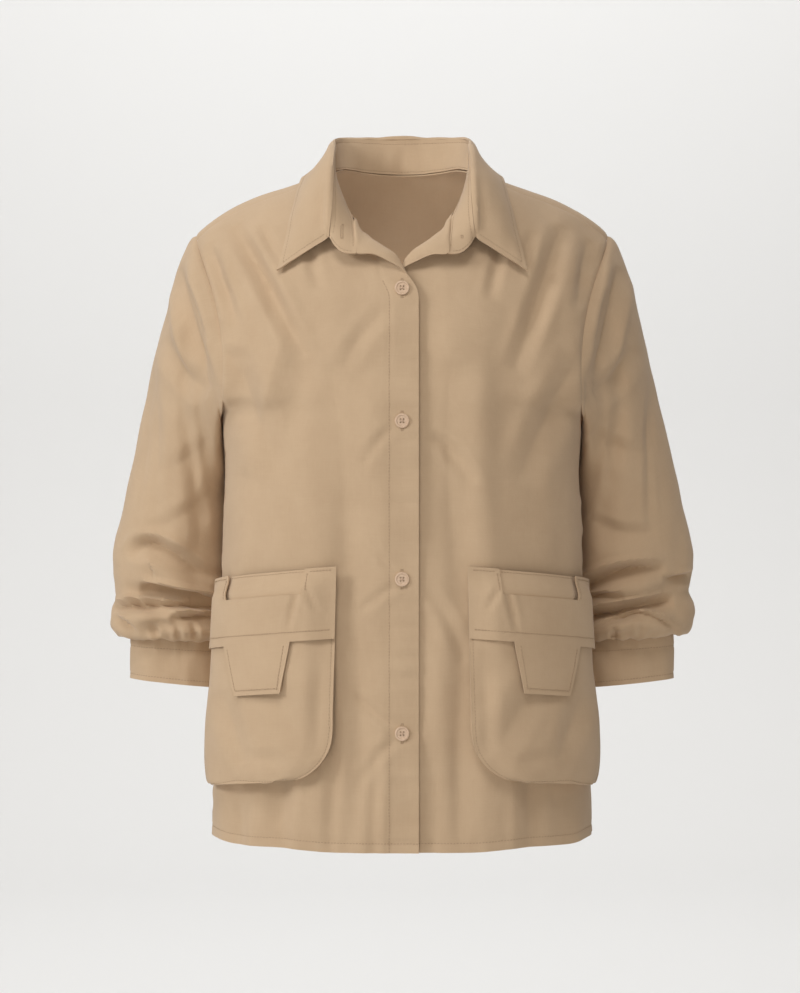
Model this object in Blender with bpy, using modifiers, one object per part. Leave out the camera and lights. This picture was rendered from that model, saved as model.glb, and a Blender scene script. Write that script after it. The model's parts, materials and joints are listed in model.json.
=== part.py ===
# Shirt jacket, hollow and filled out as if worn, with no wearer.
# Metres, +Z up. The front faces -Y. The origin is where the wearer's neck and
# shoulders hold it. Wearer's right is -X. Each cut piece is its own solid.
import math

import bmesh
import bpy
import numpy as np
from mathutils import Vector

# Driving sizes
CLOTH = 0.0015
COLLAR_CLOTH = 0.0018
SEAM_GAP = 0.0004
STAND_RISE_GAP = 0.0006
STAND_BODY_GAP = 0.0022
STAND_FRONT_GAP = 0.0006
CHEST_Z = -0.190
UNDERARM_Z = -0.235
RIDGE_Y = 0.015
RIDGE_NECK_Z = 0.016
RIDGE_SLOPE = 0.32
RIDGE_RUN = 0.137
RIDGE_TIP_DROP = 0.0232
RIDGE_TIP_POWER = 5
SECTION_POWER = 2.2
WAIST_SECTION_POWER = 2.4
WAIST_Z = -0.300
BACK_FULLNESS = 0.85
NECK_HALF_WIDTH = 0.070
SEAM_ANGLE = 0.30
NECK_SEAM_ANGLE = 0.12
BACK_NECK_ANGLE = 0.40
SEAM_SHARE = 1 - math.cos(SEAM_ANGLE)
OVERLAP = 0.016
PLACKET_WIDTH = 0.032
UNDERLAP_DEPTH = 0.0044
BUTTON_RADIUS = 0.007
COLLAR_BUTTON_RADIUS = 0.006
COLLAR_BUTTON_GAP = 0.0007
BUTTON_HEIGHTS = (-0.1090, -0.2370, -0.3887, -0.5365)

# Torso sections from chest to hem: height, half width, front y, back y, centre y
TORSO = (
    (-0.190, 0.2120, -0.1320, 0.1180, 0.000),
    (-0.212, 0.2010, -0.1350, 0.1165, -0.003),
    (-0.235, 0.1797, -0.1370, 0.1150, -0.006),
    (-0.300, 0.1790, -0.1375, 0.1120, -0.010),
    (-0.380, 0.1792, -0.1365, 0.1110, -0.012),
    (-0.460, 0.1822, -0.1365, 0.1120, -0.012),
    (-0.550, 0.1865, -0.1375, 0.1150, -0.011),
    (-0.651, 0.1892, -0.1385, 0.1180, -0.010),
)

# Armhole seam: height, half width
ARMHOLE = (
    (-0.235, 0.1797),
    (-0.210, 0.1768),
    (-0.178, 0.1757),
    (-0.147, 0.1785),
    (-0.112, 0.1860),
    (-0.077, 0.1980),
    (-0.058, 0.2050),
    (-0.045, 0.2075),
)

# Open neck of a front: roll line, then the turned-out edge. w is the distance
# from the centre front toward the panel's own side, lift the height over it.
NECK_ROWS = (
    # roll_w, roll_z, edge_w, edge_z, lift
    (0.0120, -0.1600, -0.0160, -0.1600, 0.0000),
    (0.0080, -0.1330, -0.0160, -0.1330, 0.0000),
    (0.0020, -0.1120, -0.0150, -0.1120, 0.0004),
    (-0.0010, -0.0960, -0.0076, -0.0985, 0.0010),
    (0.0040, -0.0830, 0.0020, -0.0893, 0.0035),
    (0.0125, -0.0735, 0.0150, -0.0822, 0.0070),
    (0.0240, -0.0650, 0.0290, -0.0765, 0.0100),
    (0.0350, -0.0565, 0.0445, -0.0752, 0.0125),
    (0.0425, -0.0495, 0.0450, -0.0620, 0.0110),
    (0.0470, -0.0400, 0.0472, -0.0410, 0.0045),
    (0.0540, -0.0243, 0.0540, -0.0250, 0.0004),
    (0.0620, -0.0040, 0.0620, -0.0045, 0.0002),
    (0.0670, 0.0070, 0.0670, 0.0068, 0.0000),
    (0.0700, 0.0145, 0.0700, 0.0145, 0.0000),
)

# Collar along the neck seam from centre back to front end: fraction,
# top of the stand x, y, z, then the leaf's free edge x, y, z
COLLAR = (
    (0.000, 0.0000, 0.0665, 0.0545, 0.0000, 0.0800, 0.0080),
    (0.170, 0.0340, 0.0650, 0.0545, 0.0420, 0.0765, 0.0080),
    (0.270, 0.0575, 0.0545, 0.0540, 0.0730, 0.0630, 0.0085),
    (0.360, 0.0655, 0.0330, 0.0505, 0.0900, 0.0400, 0.0095),
    (0.520, 0.0655, -0.0330, 0.0340, 0.1010, -0.0100, 0.0080),
    (0.610, 0.0660, -0.0590, 0.0215, 0.1035, -0.0410, -0.0065),
    (0.735, 0.0665, -0.0870, -0.0020, 0.1090, -0.0715, -0.0340),
    (0.833, 0.0675, -0.1030, -0.0270, 0.1135, -0.0860, -0.0560),
    (0.947, 0.0695, -0.1110, -0.0500, 0.1195, -0.0990, -0.0810),
    (1.000, 0.0705, -0.1100, -0.0590, 0.1218, -0.1040, -0.0900),
)

# Sleeve rings from armhole to cuff: outer x and z, inner x and z, centre y,
# half depth, share of the armhole's own shape
SLEEVE = (
    (0.2090, -0.0510, 0.1803, -0.2350, 0.010, 0.0720, 1.00),
    (0.2165, -0.0640, 0.1812, -0.2480, 0.014, 0.0720, 0.80),
    (0.2240, -0.0840, 0.1815, -0.2620, 0.020, 0.0715, 0.50),
    (0.2310, -0.1100, 0.1808, -0.2760, 0.028, 0.0700, 0.22),
    (0.2380, -0.1400, 0.1797, -0.2900, 0.036, 0.0680, 0.06),
    (0.2460, -0.1750, 0.1785, -0.3060, 0.043, 0.0655, 0.00),
    (0.2560, -0.2150, 0.1778, -0.3260, 0.047, 0.0630, 0.00),
    (0.2665, -0.2560, 0.1775, -0.3470, 0.050, 0.0605, 0.00),
    (0.2775, -0.2980, 0.1775, -0.3690, 0.051, 0.0585, 0.00),
    (0.2880, -0.3360, 0.1775, -0.3880, 0.051, 0.0565, 0.00),
    (0.2945, -0.3680, 0.1775, -0.4020, 0.051, 0.0550, 0.00),
    (0.2930, -0.3880, 0.1775, -0.4120, 0.051, 0.0525, 0.00),
    (0.2885, -0.4000, 0.1785, -0.4200, 0.051, 0.0465, 0.00),
    (0.2925, -0.4120, 0.1778, -0.4290, 0.051, 0.0485, 0.00),
    (0.2965, -0.4280, 0.1775, -0.4400, 0.051, 0.0490, 0.00),
    (0.2950, -0.4420, 0.1780, -0.4500, 0.051, 0.0465, 0.00),
    (0.2890, -0.4505, 0.1800, -0.4560, 0.051, 0.0420, 0.00),
    (0.2825, -0.4510, 0.1825, -0.4565, 0.051, 0.0360, 0.00),
    (0.2772, -0.4460, 0.1846, -0.4520, 0.051, 0.0318, 0.00),
)
CUFF_TOP = (0.2765, -0.4470, 0.1850, -0.4530)
CUFF_FOOT = (0.2760, -0.4935, 0.1830, -0.5030)
CUFF_CENTRE_Y = 0.051
CUFF_HALF_DEPTH = 0.0310

# Soft folds: start and end across and up, half width, depth inward
FRONT_FOLDS = (
    (0.170, -0.045, 0.118, -0.140, 0.011, 0.0035),
    (0.190, -0.070, 0.170, -0.120, 0.009, 0.0025),
    (0.052, -0.300, 0.030, -0.520, 0.016, 0.0030),
    (0.110, -0.150, 0.085, -0.330, 0.022, 0.0025),
    (0.045, -0.560, 0.055, -0.651, 0.012, 0.0025),
    (0.135, -0.600, 0.140, -0.651, 0.014, 0.0025),
)
BACK_FOLDS = (
    (0.165, -0.120, 0.110, -0.260, 0.016, 0.0040),
    (0.060, -0.280, 0.075, -0.520, 0.020, 0.0035),
    (0.120, -0.380, 0.105, -0.640, 0.022, 0.0045),
    (0.020, -0.450, 0.010, -0.640, 0.018, 0.0035),
)
# On a sleeve: start and end as turn in degrees and share of length
SLEEVE_FOLDS = (
    (60.0, 0.12, 120.0, 0.42, 12.0, 0.0060),
    (95.0, 0.16, 150.0, 0.40, 11.0, 0.0045),
    (30.0, 0.45, 62.0, 0.72, 14.0, 0.0035),
    (240.0, 0.15, 215.0, 0.40, 12.0, 0.0055),
    (300.0, 0.45, 275.0, 0.75, 14.0, 0.0040),
)
SLEEVE_GATHERS = 9
SLEEVE_GATHER_DEPTH = 0.0030

# Pocket on a front: where it starts and ends round the body, and its heights
POCKET_INNER_TURN = math.radians(16.5)
POCKET_OUTER_TURN = math.radians(83.0)
POCKET_TOP_INNER_Z = -0.3764
POCKET_TOP_OUTER_Z = -0.3915
POCKET_HEIGHT = 0.2030
POCKET_MOUTH = 0.0240
POCKET_BAND = 0.0690
POCKET_TAB = 0.1180
POCKET_CORNER = 0.42
POCKET_MOUTH_START = 0.150
POCKET_MOUTH_END = 0.700
TAB_TOP_START = 0.2045
TAB_FOOT_START = 0.286
TAB_FOOT_END = 0.582
POCKET_CORNER_START = 0.785
POCKET_EDGE_HEIGHT = 0.0042
MOUTH_BACKING_HEIGHT = 0.0024
MOUTH_CLOTH = 0.0012
GUSSET_CLOTH = 0.0010

FRONT_COLUMNS = 11
LOWER_ROWS = (-0.651, -0.600, -0.550, -0.500, -0.445, -0.390, -0.335, -0.282, -0.235, -0.212, -0.190)
ARMHOLE_GAP = 0.0008
SIDE_GAP = np.array((0.0, -0.0003, 0.0))
SHOULDER_GAP = np.array((0.0, -0.0006, -0.0003))


# Interpolation through a table's rows with smooth tangents
def smooth_table(table, position):
    rows = np.array(table, dtype=float)
    keys = rows[:, 0]
    values = rows[:, 1:]
    if keys[0] > keys[-1]:
        keys = keys[::-1]
        values = values[::-1]
    slopes = np.gradient(values, keys, axis=0)
    place = min(max(position, keys[0]), keys[-1])
    index = int(min(np.searchsorted(keys, place, side="right"), len(keys) - 1)) - 1
    index = max(index, 0)
    span = keys[index + 1] - keys[index]
    t = (place - keys[index]) / span
    near = (1 + 2 * t) * (1 - t) ** 2 * values[index] + t * (1 - t) ** 2 * span * slopes[index]
    far = t * t * (3 - 2 * t) * values[index + 1] + t * t * (t - 1) * span * slopes[index + 1]
    return near + far


def ramp(low, high, value):
    t = min(max((value - low) / (high - low), 0.0), 1.0)
    return t * t * (3 - 2 * t)


# Shoulder ridge height at a distance from the centre
def ridge_z(across):
    beyond = abs(across) - NECK_HALF_WIDTH
    tip_drop = RIDGE_TIP_DROP * max(beyond / RIDGE_RUN, 0.0) ** RIDGE_TIP_POWER
    return RIDGE_NECK_Z - RIDGE_SLOPE * beyond - tip_drop


# How square a section is: it fills out a little below the chest
def section_power(z):
    return SECTION_POWER + (WAIST_SECTION_POWER - SECTION_POWER) * ramp(CHEST_Z, WAIST_Z, min(z, CHEST_Z))


# The body's surface: y at a place across and up, on the front or the back
def body_y(across, z, back):
    level = min(z, CHEST_Z)
    half_width, front_y, back_y, centre = smooth_table(TORSO, level)
    power = section_power(level)
    share = min(abs(across) / half_width, 1.0)
    swell = (1 - share ** power) ** (1 / power)
    edge_y = back_y if back else front_y
    y = centre + (edge_y - centre) * swell
    if z > CHEST_Z:
        top = ridge_z(across)
        rise = min(max((top - z) / (top - CHEST_Z), 0.0), 1.0)
        roundness = BACK_FULLNESS if back else 1.0
        y = RIDGE_Y + (y - RIDGE_Y) * math.sqrt(1 - (1 - rise) ** 2) ** roundness
    return y


def turn_of(across, z):
    half_width = smooth_table(TORSO, min(z, CHEST_Z))[0]
    share = min(abs(across) / half_width, 1.0) ** (section_power(min(z, CHEST_Z)) / 2)
    return math.copysign(math.asin(share), across)


def across_of(turn, z):
    half_width = smooth_table(TORSO, min(z, CHEST_Z))[0]
    power = section_power(min(z, CHEST_Z))
    return math.copysign(half_width * abs(math.sin(turn)) ** (2 / power), turn)


def armhole_across(z):
    return smooth_table(ARMHOLE, z)[0]


# The armhole point at a share of the way from the ridge to the chest
def armhole_point(share):
    across = 0.19
    for _ in range(30):
        z = ridge_z(across) - share * (ridge_z(across) - CHEST_Z)
        across = 0.5 * across + 0.5 * armhole_across(z)
    return across, ridge_z(across) - share * (ridge_z(across) - CHEST_Z)


# How far forward of the ridge the shoulder seam lies, as an angle
def seam_angle(across):
    run = min(max((abs(across) - NECK_HALF_WIDTH) / 0.045, 0.0), 1.0)
    return NECK_SEAM_ANGLE + (SEAM_ANGLE - NECK_SEAM_ANGLE) * run


# Depth of soft folds at a place, each fading at its ends and sides
def fold_depth(folds, across, z):
    total = 0.0
    for start_a, start_z, end_a, end_z, half_width, depth in folds:
        along = np.array((end_a - start_a, end_z - start_z))
        length = np.linalg.norm(along)
        offset = np.array((across - start_a, z - start_z))
        run = float(offset @ along) / length ** 2
        side = abs(float(offset[0] * along[1] - offset[1] * along[0])) / length
        fade = ramp(-0.25, 0.2, run) * (1 - ramp(0.8, 1.25, run))
        total += depth * fade * math.exp(-(side / half_width) ** 2)
    return total


def front_point(across, z, lift=0.0):
    y = body_y(across, z, False)
    dent = fold_depth(FRONT_FOLDS, across, z) * ramp(0.008, 0.03, across)
    return np.array((across, y + dent - lift, z))


def back_point(across, z):
    y = body_y(across, z, True)
    return np.array((across, y - fold_depth(BACK_FOLDS, abs(across), z), z))


# Rows of one front panel from the hem to the shoulder seam
def front_rows():
    rows = []
    for z in LOWER_ROWS:
        right_turn = turn_of(armhole_across(z), z) if z > UNDERARM_Z else math.pi / 2
        inset = PLACKET_WIDTH - OVERLAP
        row = [front_point(w, z) for w in (-OVERLAP, -0.001, inset - 0.0015)]
        start = turn_of(inset + 0.004, z)
        for step in np.linspace(0, 1, FRONT_COLUMNS):
            turn = start + (right_turn - start) * step
            row.append(front_point(across_of(turn, z), z))
        if z <= UNDERARM_Z:
            row[-1] = row[-1] + SIDE_GAP
        rows.append(row)
    shares = 1 - np.cos(np.linspace(math.pi / 2, SEAM_ANGLE, len(NECK_ROWS) + 1))[1:]
    for share, neck in zip(shares, NECK_ROWS):
        rows.append(neck_row(share, *neck))
    rows[-1] = [point + SHOULDER_GAP for point in rows[-1]]
    return rows


def neck_row(share, roll_w, roll_z, edge_w, edge_z, lift):
    arm_across, _ = armhole_point(share)
    start_share = (ridge_z(roll_w) - roll_z) / (ridge_z(roll_w) - CHEST_Z)
    roll_lift = min(lift * 0.25, 0.0022)
    roll = front_point(roll_w, roll_z, roll_lift)
    edge = front_point(edge_w, edge_z, lift)
    middle = 0.5 * (roll + edge) + np.array((0.0, -0.3 * lift, 0.0))
    step_in = 0.006
    if lift < 0.0005 and edge_z > -0.03:
        edge = front_point(roll_w, roll_z)
        middle = on_row(roll_w + 0.003, start_share)
        roll = on_row(roll_w + 0.006, start_share)
        step_in = 0.010
    row = [edge, middle, roll]
    first = turn_of(roll_w + step_in, CHEST_Z)
    last = turn_of(arm_across, CHEST_Z)
    for step in np.linspace(0, 1, FRONT_COLUMNS):
        across = across_of(first + (last - first) * step, CHEST_Z)
        run = (across - roll_w) / (arm_across - roll_w)
        here = start_share + (share - start_share) * run
        row.append(on_row(across, 0.0 if share <= SEAM_SHARE + 1e-9 else here))
    return row


def on_row(across, share):
    share = max(share, 1 - math.cos(seam_angle(across)))
    top = ridge_z(across)
    return front_point(across, top - share * (top - CHEST_Z))


# Rows of the back, from the hem over the shoulder to the front shoulder seam
def back_rows():
    first = turn_of(NECK_HALF_WIDTH + 0.010, CHEST_Z)
    last = turn_of(armhole_point(SEAM_SHARE)[0], CHEST_Z)
    shoulder = [across_of(first + (last - first) * step, CHEST_Z) for step in np.linspace(0, 1, FRONT_COLUMNS)]
    half = np.array([0.0, 0.022, 0.042, 0.056, 0.065, NECK_HALF_WIDTH] + shoulder) / shoulder[-1]
    spread = np.concatenate((-half[:0:-1], half))
    rows = []
    for z in LOWER_ROWS:
        last = turn_of(armhole_across(z), z) if z > UNDERARM_Z else math.pi / 2
        row = [back_point(across_of(last * u, z), z) for u in spread]
        if z <= UNDERARM_Z:
            row[0] = row[0] - SIDE_GAP
            row[-1] = row[-1] - SIDE_GAP
        rows.append(row)
    for level in np.linspace(1, 0, 13)[1:]:
        rows.append([back_shoulder_point(u, level) for u in spread])
    return rows


def back_shoulder_point(u, level):
    reach = abs(u)
    neck_u = NECK_HALF_WIDTH / armhole_point(SEAM_SHARE)[0]
    end = -seam_angle(max(reach * armhole_point(SEAM_SHARE)[0], NECK_HALF_WIDTH))
    if reach < neck_u:
        end = end + (BACK_NECK_ANGLE - end) * (1 - (reach / neck_u) ** 3) ** (1 / 3)
    angle = end + (math.pi / 2 - end) * level
    share = 1 - math.cos(angle)
    arm_angle = (math.pi / 2 + SEAM_ANGLE) * level - SEAM_ANGLE
    arm_across, _ = armhole_point(1 - math.cos(arm_angle))
    mix = ramp(1.0, 0.75, level)
    by_turn = across_of(turn_of(arm_across, CHEST_Z) * reach, CHEST_Z)
    across = by_turn * (1 - mix) + arm_across * reach * mix
    top = ridge_z(across)
    z = top - share * (top - CHEST_Z)
    if angle < 0:
        point = front_point(abs(across), z)
        point[0] = across
    else:
        point = back_point(across, z)
    point[0] = math.copysign(point[0], u) if u else 0.0
    return point


# Neck seam from centre back to the turned-out front end, on the +X side
def neck_seam(front, back):
    top = back[-1]
    middle = len(top) // 2
    seam = [top[middle + k] for k in range(0, 6)]
    first = len(LOWER_ROWS) + 7
    seam += [front[k][0] for k in range(len(front) - 2, first - 1, -1)]
    return seam


def unit(vector):
    return vector / np.linalg.norm(vector)


# Neck seam points with one more between each two
def halved(points):
    fine = [points[0]]
    for a, b in zip(points, points[1:]):
        fine += [0.5 * (a + b), b]
    return fine


def shares_along(points):
    steps = [float(np.linalg.norm(b - a)) for a, b in zip(points, points[1:])]
    lengths = np.concatenate(([0.0], np.cumsum(steps)))
    return lengths / lengths[-1]


# Stand columns from the neck seam up to the fold, for the +X half
def stand_half(seam):
    columns = []
    fine = halved(seam)
    for foot, share in zip(fine, shares_along(fine)):
        head = smooth_table(COLLAR, share)[0:3]
        rise = unit(head - foot)
        off_body = unit(foot - np.array((0.35 * foot[0], 0.0, -0.10)))
        foot = foot + rise * STAND_RISE_GAP + off_body * (STAND_BODY_GAP + STAND_FRONT_GAP * ramp(0.45, 0.7, share))
        ahead = np.array((0.35, -0.35, -0.87))
        column = []
        for v in (0.0, 0.12, 0.4, 0.75, 1.0):
            point = foot + (head - foot) * v
            round_end = ramp(0.9, 1.0, share) * 0.0065 * math.sin(math.pi * v)
            column.append(point + ahead * round_end)
        columns.append(column)
    return columns


# Leaf columns: out of the stand's top, over the roll and down to the free edge
def leaf_half(seam):
    columns = []
    fine = halved(seam)
    for foot, share in zip(fine, shares_along(fine)):
        collar = smooth_table(COLLAR, share)
        head = collar[0:3]
        free = collar[3:6]
        rise = unit(head - foot)
        fall = free - head
        out = unit(fall - rise * float(fall @ rise))
        down = unit(fall)
        swell = unit(rise - down * float(rise @ down))
        column = [head + rise * 0.0014 + out * 0.0001]
        column.append(head + rise * 0.0042 + out * 0.0008)
        column.append(head + rise * 0.0054 + out * 0.0040)
        start = head + rise * 0.0042 + out * 0.0080
        for v in (0.0, 0.25, 0.55, 0.85, 1.0):
            column.append(start + (free - start) * v + swell * 0.0035 * math.sin(math.pi * v))
        columns.append(column)
    return columns


def mirrored(columns):
    flip = np.array((-1.0, 1.0, 1.0))
    left = [[point * flip for point in column] for column in columns[:0:-1]]
    return left + columns


# The armhole edge from the shoulder tip round by the front, as turns and points
def armhole_loop(front, back):
    first_open = LOWER_ROWS.index(UNDERARM_Z)
    down_front = [front[k][-1] for k in range(len(front) - 1, first_open - 1, -1)]
    up_back = [back[k][-1] for k in range(first_open + 1, len(back) - 1)]
    loop = down_front + up_back + down_front[:1]
    under = len(down_front) - 1
    steps = [float(np.linalg.norm(b - a)) for a, b in zip(loop, loop[1:])]
    lengths = np.concatenate(([0.0], np.cumsum(steps)))
    front_length = lengths[under]
    back_length = lengths[-1] - front_length
    keyed = []
    for point, length in zip(loop[:-1], lengths):
        if length <= front_length:
            turn = 180.0 * length / front_length
        else:
            turn = 180.0 + 180.0 * (length - front_length) / back_length
        keyed.append((turn, point))
    return keyed


def sleeve_fold(turn, share):
    total = 0.0
    for start_turn, start_share, end_turn, end_share, half_width, depth in SLEEVE_FOLDS:
        run = (share - start_share) / (end_share - start_share)
        centre = start_turn + (end_turn - start_turn) * run
        fade = ramp(-0.2, 0.25, run) * (1 - ramp(0.75, 1.2, run))
        total += depth * fade * math.exp(-((turn - centre) / half_width) ** 2)
    return total


# Sleeve rings for the +X side, each a closed loop of points
def sleeve_rings(loop):
    rings = []
    last = len(SLEEVE) - 1
    for index, row in enumerate(SLEEVE):
        outer_x, outer_z, inner_x, inner_z, centre_y, half_depth, own = row
        outer = np.array((outer_x, centre_y, outer_z))
        inner = np.array((inner_x, centre_y, inner_z))
        centre = 0.5 * (outer + inner)
        arm = outer - centre
        share = index / last
        ring = []
        gathering = SLEEVE_GATHER_DEPTH * ramp(0.62, 0.88, share) * (1 - ramp(0.88, 0.97, share))
        for turn, point in loop:
            angle = math.radians(turn)
            gather = gathering * math.cos(SLEEVE_GATHERS * angle + 2.6 * index)
            reach = 1 - (sleeve_fold(turn, share) + gather * abs(math.sin(angle))) / half_depth
            side = -math.sin(angle) * half_depth * reach
            oval = centre + arm * math.cos(angle) + np.array((0.0, side, 0.0))
            seam = point + np.array((ARMHOLE_GAP + 0.004 * index, 0.0, 0.0))
            ring.append(oval * (1 - own) + seam * own)
        rings.append(ring)
    return rings


def cuff_rings(loop):
    rings = []
    for share in (0.0, 0.35, 0.7, 1.0):
        top = np.array(CUFF_TOP)
        foot = np.array(CUFF_FOOT)
        outer_x, outer_z, inner_x, inner_z = top + (foot - top) * share
        centre_x = 0.5 * (outer_x + inner_x)
        centre_z = 0.5 * (outer_z + inner_z)
        ring = []
        for turn, _ in loop:
            angle = math.radians(turn)
            x = centre_x + 0.5 * (outer_x - inner_x) * math.cos(angle)
            z = centre_z + 0.5 * (outer_z - inner_z) * math.cos(angle)
            ring.append(np.array((x, CUFF_CENTRE_Y - CUFF_HALF_DEPTH * math.sin(angle), z)))
        rings.append(ring)
    return rings


# A place on the pocket: share of its width, depth below its top, height off
# the front panel
def pocket_point(share, drop, height):
    top = POCKET_TOP_INNER_Z + (POCKET_TOP_OUTER_Z - POCKET_TOP_INNER_Z) * share
    z = top - drop
    turn = POCKET_INNER_TURN + (POCKET_OUTER_TURN - POCKET_INNER_TURN) * share
    step = 0.01
    here = front_point(across_of(turn, z), z)
    aside = front_point(across_of(turn + step, z), z)
    before = front_point(across_of(turn - step, z), z)
    along = unit(aside - before)
    normal = np.array((-along[1], along[0], 0.0))
    if normal[1] > 0:
        normal = -normal
    return here + normal * height


# How far the pocket's face stands off the front
def pocket_height(share, drop):
    low = drop / POCKET_HEIGHT
    sides = 0.0045 + 0.0060 * ramp(0.15, 0.75, low)
    middle = 0.0125 + 0.0020 * ramp(0.2, 0.7, low)
    inside = ramp(0.0, 0.14, share) * (1 - ramp(0.80, 1.0, share))
    upper = ramp(0.0, 0.11, low)
    full = sides * (1 - inside) + middle * inside
    return POCKET_EDGE_HEIGHT + (full - POCKET_EDGE_HEIGHT) * upper


# Half width of the pocket at a depth: it narrows round its lower corners
def pocket_spread(drop):
    low = drop / POCKET_HEIGHT
    if low < POCKET_CORNER_START:
        return 1.0
    t = (low - POCKET_CORNER_START) / (1 - POCKET_CORNER_START)
    return 1 - POCKET_CORNER * (1 - math.sqrt(max(1 - t * t, 0.0)))


def corner_levels(angles):
    return [POCKET_CORNER_START + (1 - POCKET_CORNER_START) * math.sin(math.radians(a)) for a in angles]


def bag_rows():
    low = [0.13, 0.22, 0.34, 0.46, 0.58, 0.70, POCKET_CORNER_START] + corner_levels((18, 36, 54, 72, 90))
    shares = (0.0, 0.05, 0.13, 0.25, 0.38, 0.50, 0.62, 0.74, 0.85, 0.94, 1.0)
    rows = []
    for level in low:
        drop = level * POCKET_HEIGHT
        spread = pocket_spread(drop)
        row = []
        for share in shares:
            place = 0.5 + (share - 0.5) * spread
            row.append(pocket_point(place, drop, pocket_height(share, drop)))
        rows.append(row)
    return rows


# The strip between the pocket's face and the front, down one side, along the
# foot and up the other
def gusset_rows():
    low = [0.03, 0.13, 0.25, 0.40, 0.55, 0.70, POCKET_CORNER_START] + corner_levels((22, 44, 66, 82))
    path = [(0.0, level) for level in low]
    path += [(share, 1.0) for share in (0.16, 0.3, 0.5, 0.7, 0.84)]
    path += [(1.0, level) for level in reversed(low)]
    rows = []
    for side, level in path:
        drop = level * POCKET_HEIGHT
        spread = pocket_spread(drop)
        place = 0.5 + (side - 0.5) * spread if level < 1.0 else side * 0.58 + 0.21
        height = pocket_height(side, drop) - CLOTH - 2 * SEAM_GAP
        face = inward(place, drop, 0.010)
        foot = inward(place, drop, 0.002)
        middle = inward(place, drop, 0.016)
        row = [pocket_point(*foot, 0.0019)]
        row.append(pocket_point(*middle, 0.5 * height))
        row.append(pocket_point(*face, height))
        rows.append(row)
    return rows


def inward(place, drop, amount):
    centre = (0.5, 0.42 * POCKET_HEIGHT)
    pull_place = place + (centre[0] - place) * amount * 2.2
    pull_drop = drop + (centre[1] - drop) * amount * 1.6
    return pull_place, pull_drop


def flap_height(share, drop):
    edge = 0.0028 + 0.0018 * ramp(POCKET_BAND - 0.01, POCKET_TAB, drop)
    return pocket_height(share, drop) + edge


# Flap vertices and faces: two ears beside the mouth, the band and its tab
def flap_grid():
    shares = (0.0, 0.07, POCKET_MOUTH_START, TAB_TOP_START, 0.32, 0.45, 0.58, POCKET_MOUTH_END, 0.80, 0.90, 1.0)
    drops = (0.0, 0.012, POCKET_MOUTH, 0.040, 0.055, POCKET_BAND, 0.085, 0.102, POCKET_TAB)
    first = shares.index(POCKET_MOUTH_START)
    tab_first = shares.index(TAB_TOP_START)
    last = shares.index(POCKET_MOUTH_END)
    mouth = drops.index(POCKET_MOUTH)
    band = drops.index(POCKET_BAND)
    rows = []
    for index, drop in enumerate(drops):
        row = []
        for share in shares:
            place = share
            if index > band:
                taper = (drop - POCKET_BAND) / (POCKET_TAB - POCKET_BAND)
                run = (share - TAB_TOP_START) / (POCKET_MOUTH_END - TAB_TOP_START)
                start = TAB_TOP_START + (TAB_FOOT_START - TAB_TOP_START) * taper
                end = POCKET_MOUTH_END + (TAB_FOOT_END - POCKET_MOUTH_END) * taper
                place = start + (end - start) * run
            row.append(pocket_point(place, drop, flap_height(place, drop)))
        rows.append(row)

    def kept(row, column):
        if row < mouth:
            return column < first or column >= last
        if row < band:
            return True
        return tab_first <= column < last
    return rows, kept


def mouth_rows():
    shares = np.linspace(0.07, 0.76, 8)
    return [[pocket_point(s, d, MOUTH_BACKING_HEIGHT) for s in shares] for d in (0.0010, 0.016, 0.034, 0.052)]


# Materials
def cloth_material(name, colour, roughness):
    material = bpy.data.materials.new(name)
    material.use_nodes = True
    shader = material.node_tree.nodes["Principled BSDF"]
    shader.inputs["Base Color"].default_value = (*colour, 1.0)
    shader.inputs["Roughness"].default_value = roughness
    shader.inputs["Metallic"].default_value = 0.0
    return material


# Scene helpers
def clear_scene():
    for item in list(bpy.data.objects):
        bpy.data.objects.remove(item, do_unlink=True)


def mesh_object(name, rows, collection, material, closed=False, kept=None, mirror=False):
    mesh = bpy.data.meshes.new(name)
    shape = bmesh.new()
    width = len(rows[0])
    grid = {}
    cells = []
    for i in range(len(rows) - 1):
        for j in range(width if closed else width - 1):
            if kept is None or kept(i, j):
                k = (j + 1) % width
                cells.append(((i, j), (i, k), (i + 1, k), (i + 1, j)))
    for cell in cells:
        corners = []
        for key in cell:
            if key not in grid:
                point = rows[key[0]][key[1]]
                x = -point[0] if mirror else point[0]
                grid[key] = shape.verts.new((x, point[1], point[2]))
            corners.append(grid[key])
        shape.faces.new(corners[::-1] if mirror else corners)
    shape.to_mesh(mesh)
    shape.free()
    piece = bpy.data.objects.new(name, mesh)
    collection.objects.link(piece)
    mesh.materials.append(material)
    return piece


def face_outward(piece, point_outside):
    mesh = piece.data
    shape = bmesh.new()
    shape.from_mesh(mesh)
    shape.normal_update()
    target = Vector(point_outside)
    nearest = min(shape.faces, key=lambda face: (face.calc_center_median() - target).length)
    if nearest.normal.dot(target - nearest.calc_center_median()) < 0:
        bmesh.ops.reverse_faces(shape, faces=shape.faces)
    shape.to_mesh(mesh)
    shape.free()


def thicken(piece, thickness):
    wall = piece.modifiers.new("wall", "SOLIDIFY")
    wall.thickness = thickness
    wall.offset = -1.0
    wall.use_even_offset = False
    mesh = piece.data
    mesh.shade_smooth()
    mesh.set_sharp_from_angle(angle=math.radians(50))


def sink_under(rows):
    sunk = []
    for row in rows:
        fresh = []
        for point in row:
            depth = UNDERLAP_DEPTH * (1 - ramp(0.018, 0.045, point[0])) * ramp(-0.060, -0.085, point[2])
            fresh.append(point + np.array((0.0, depth, 0.0)))
        sunk.append(fresh)
    return sunk


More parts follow.
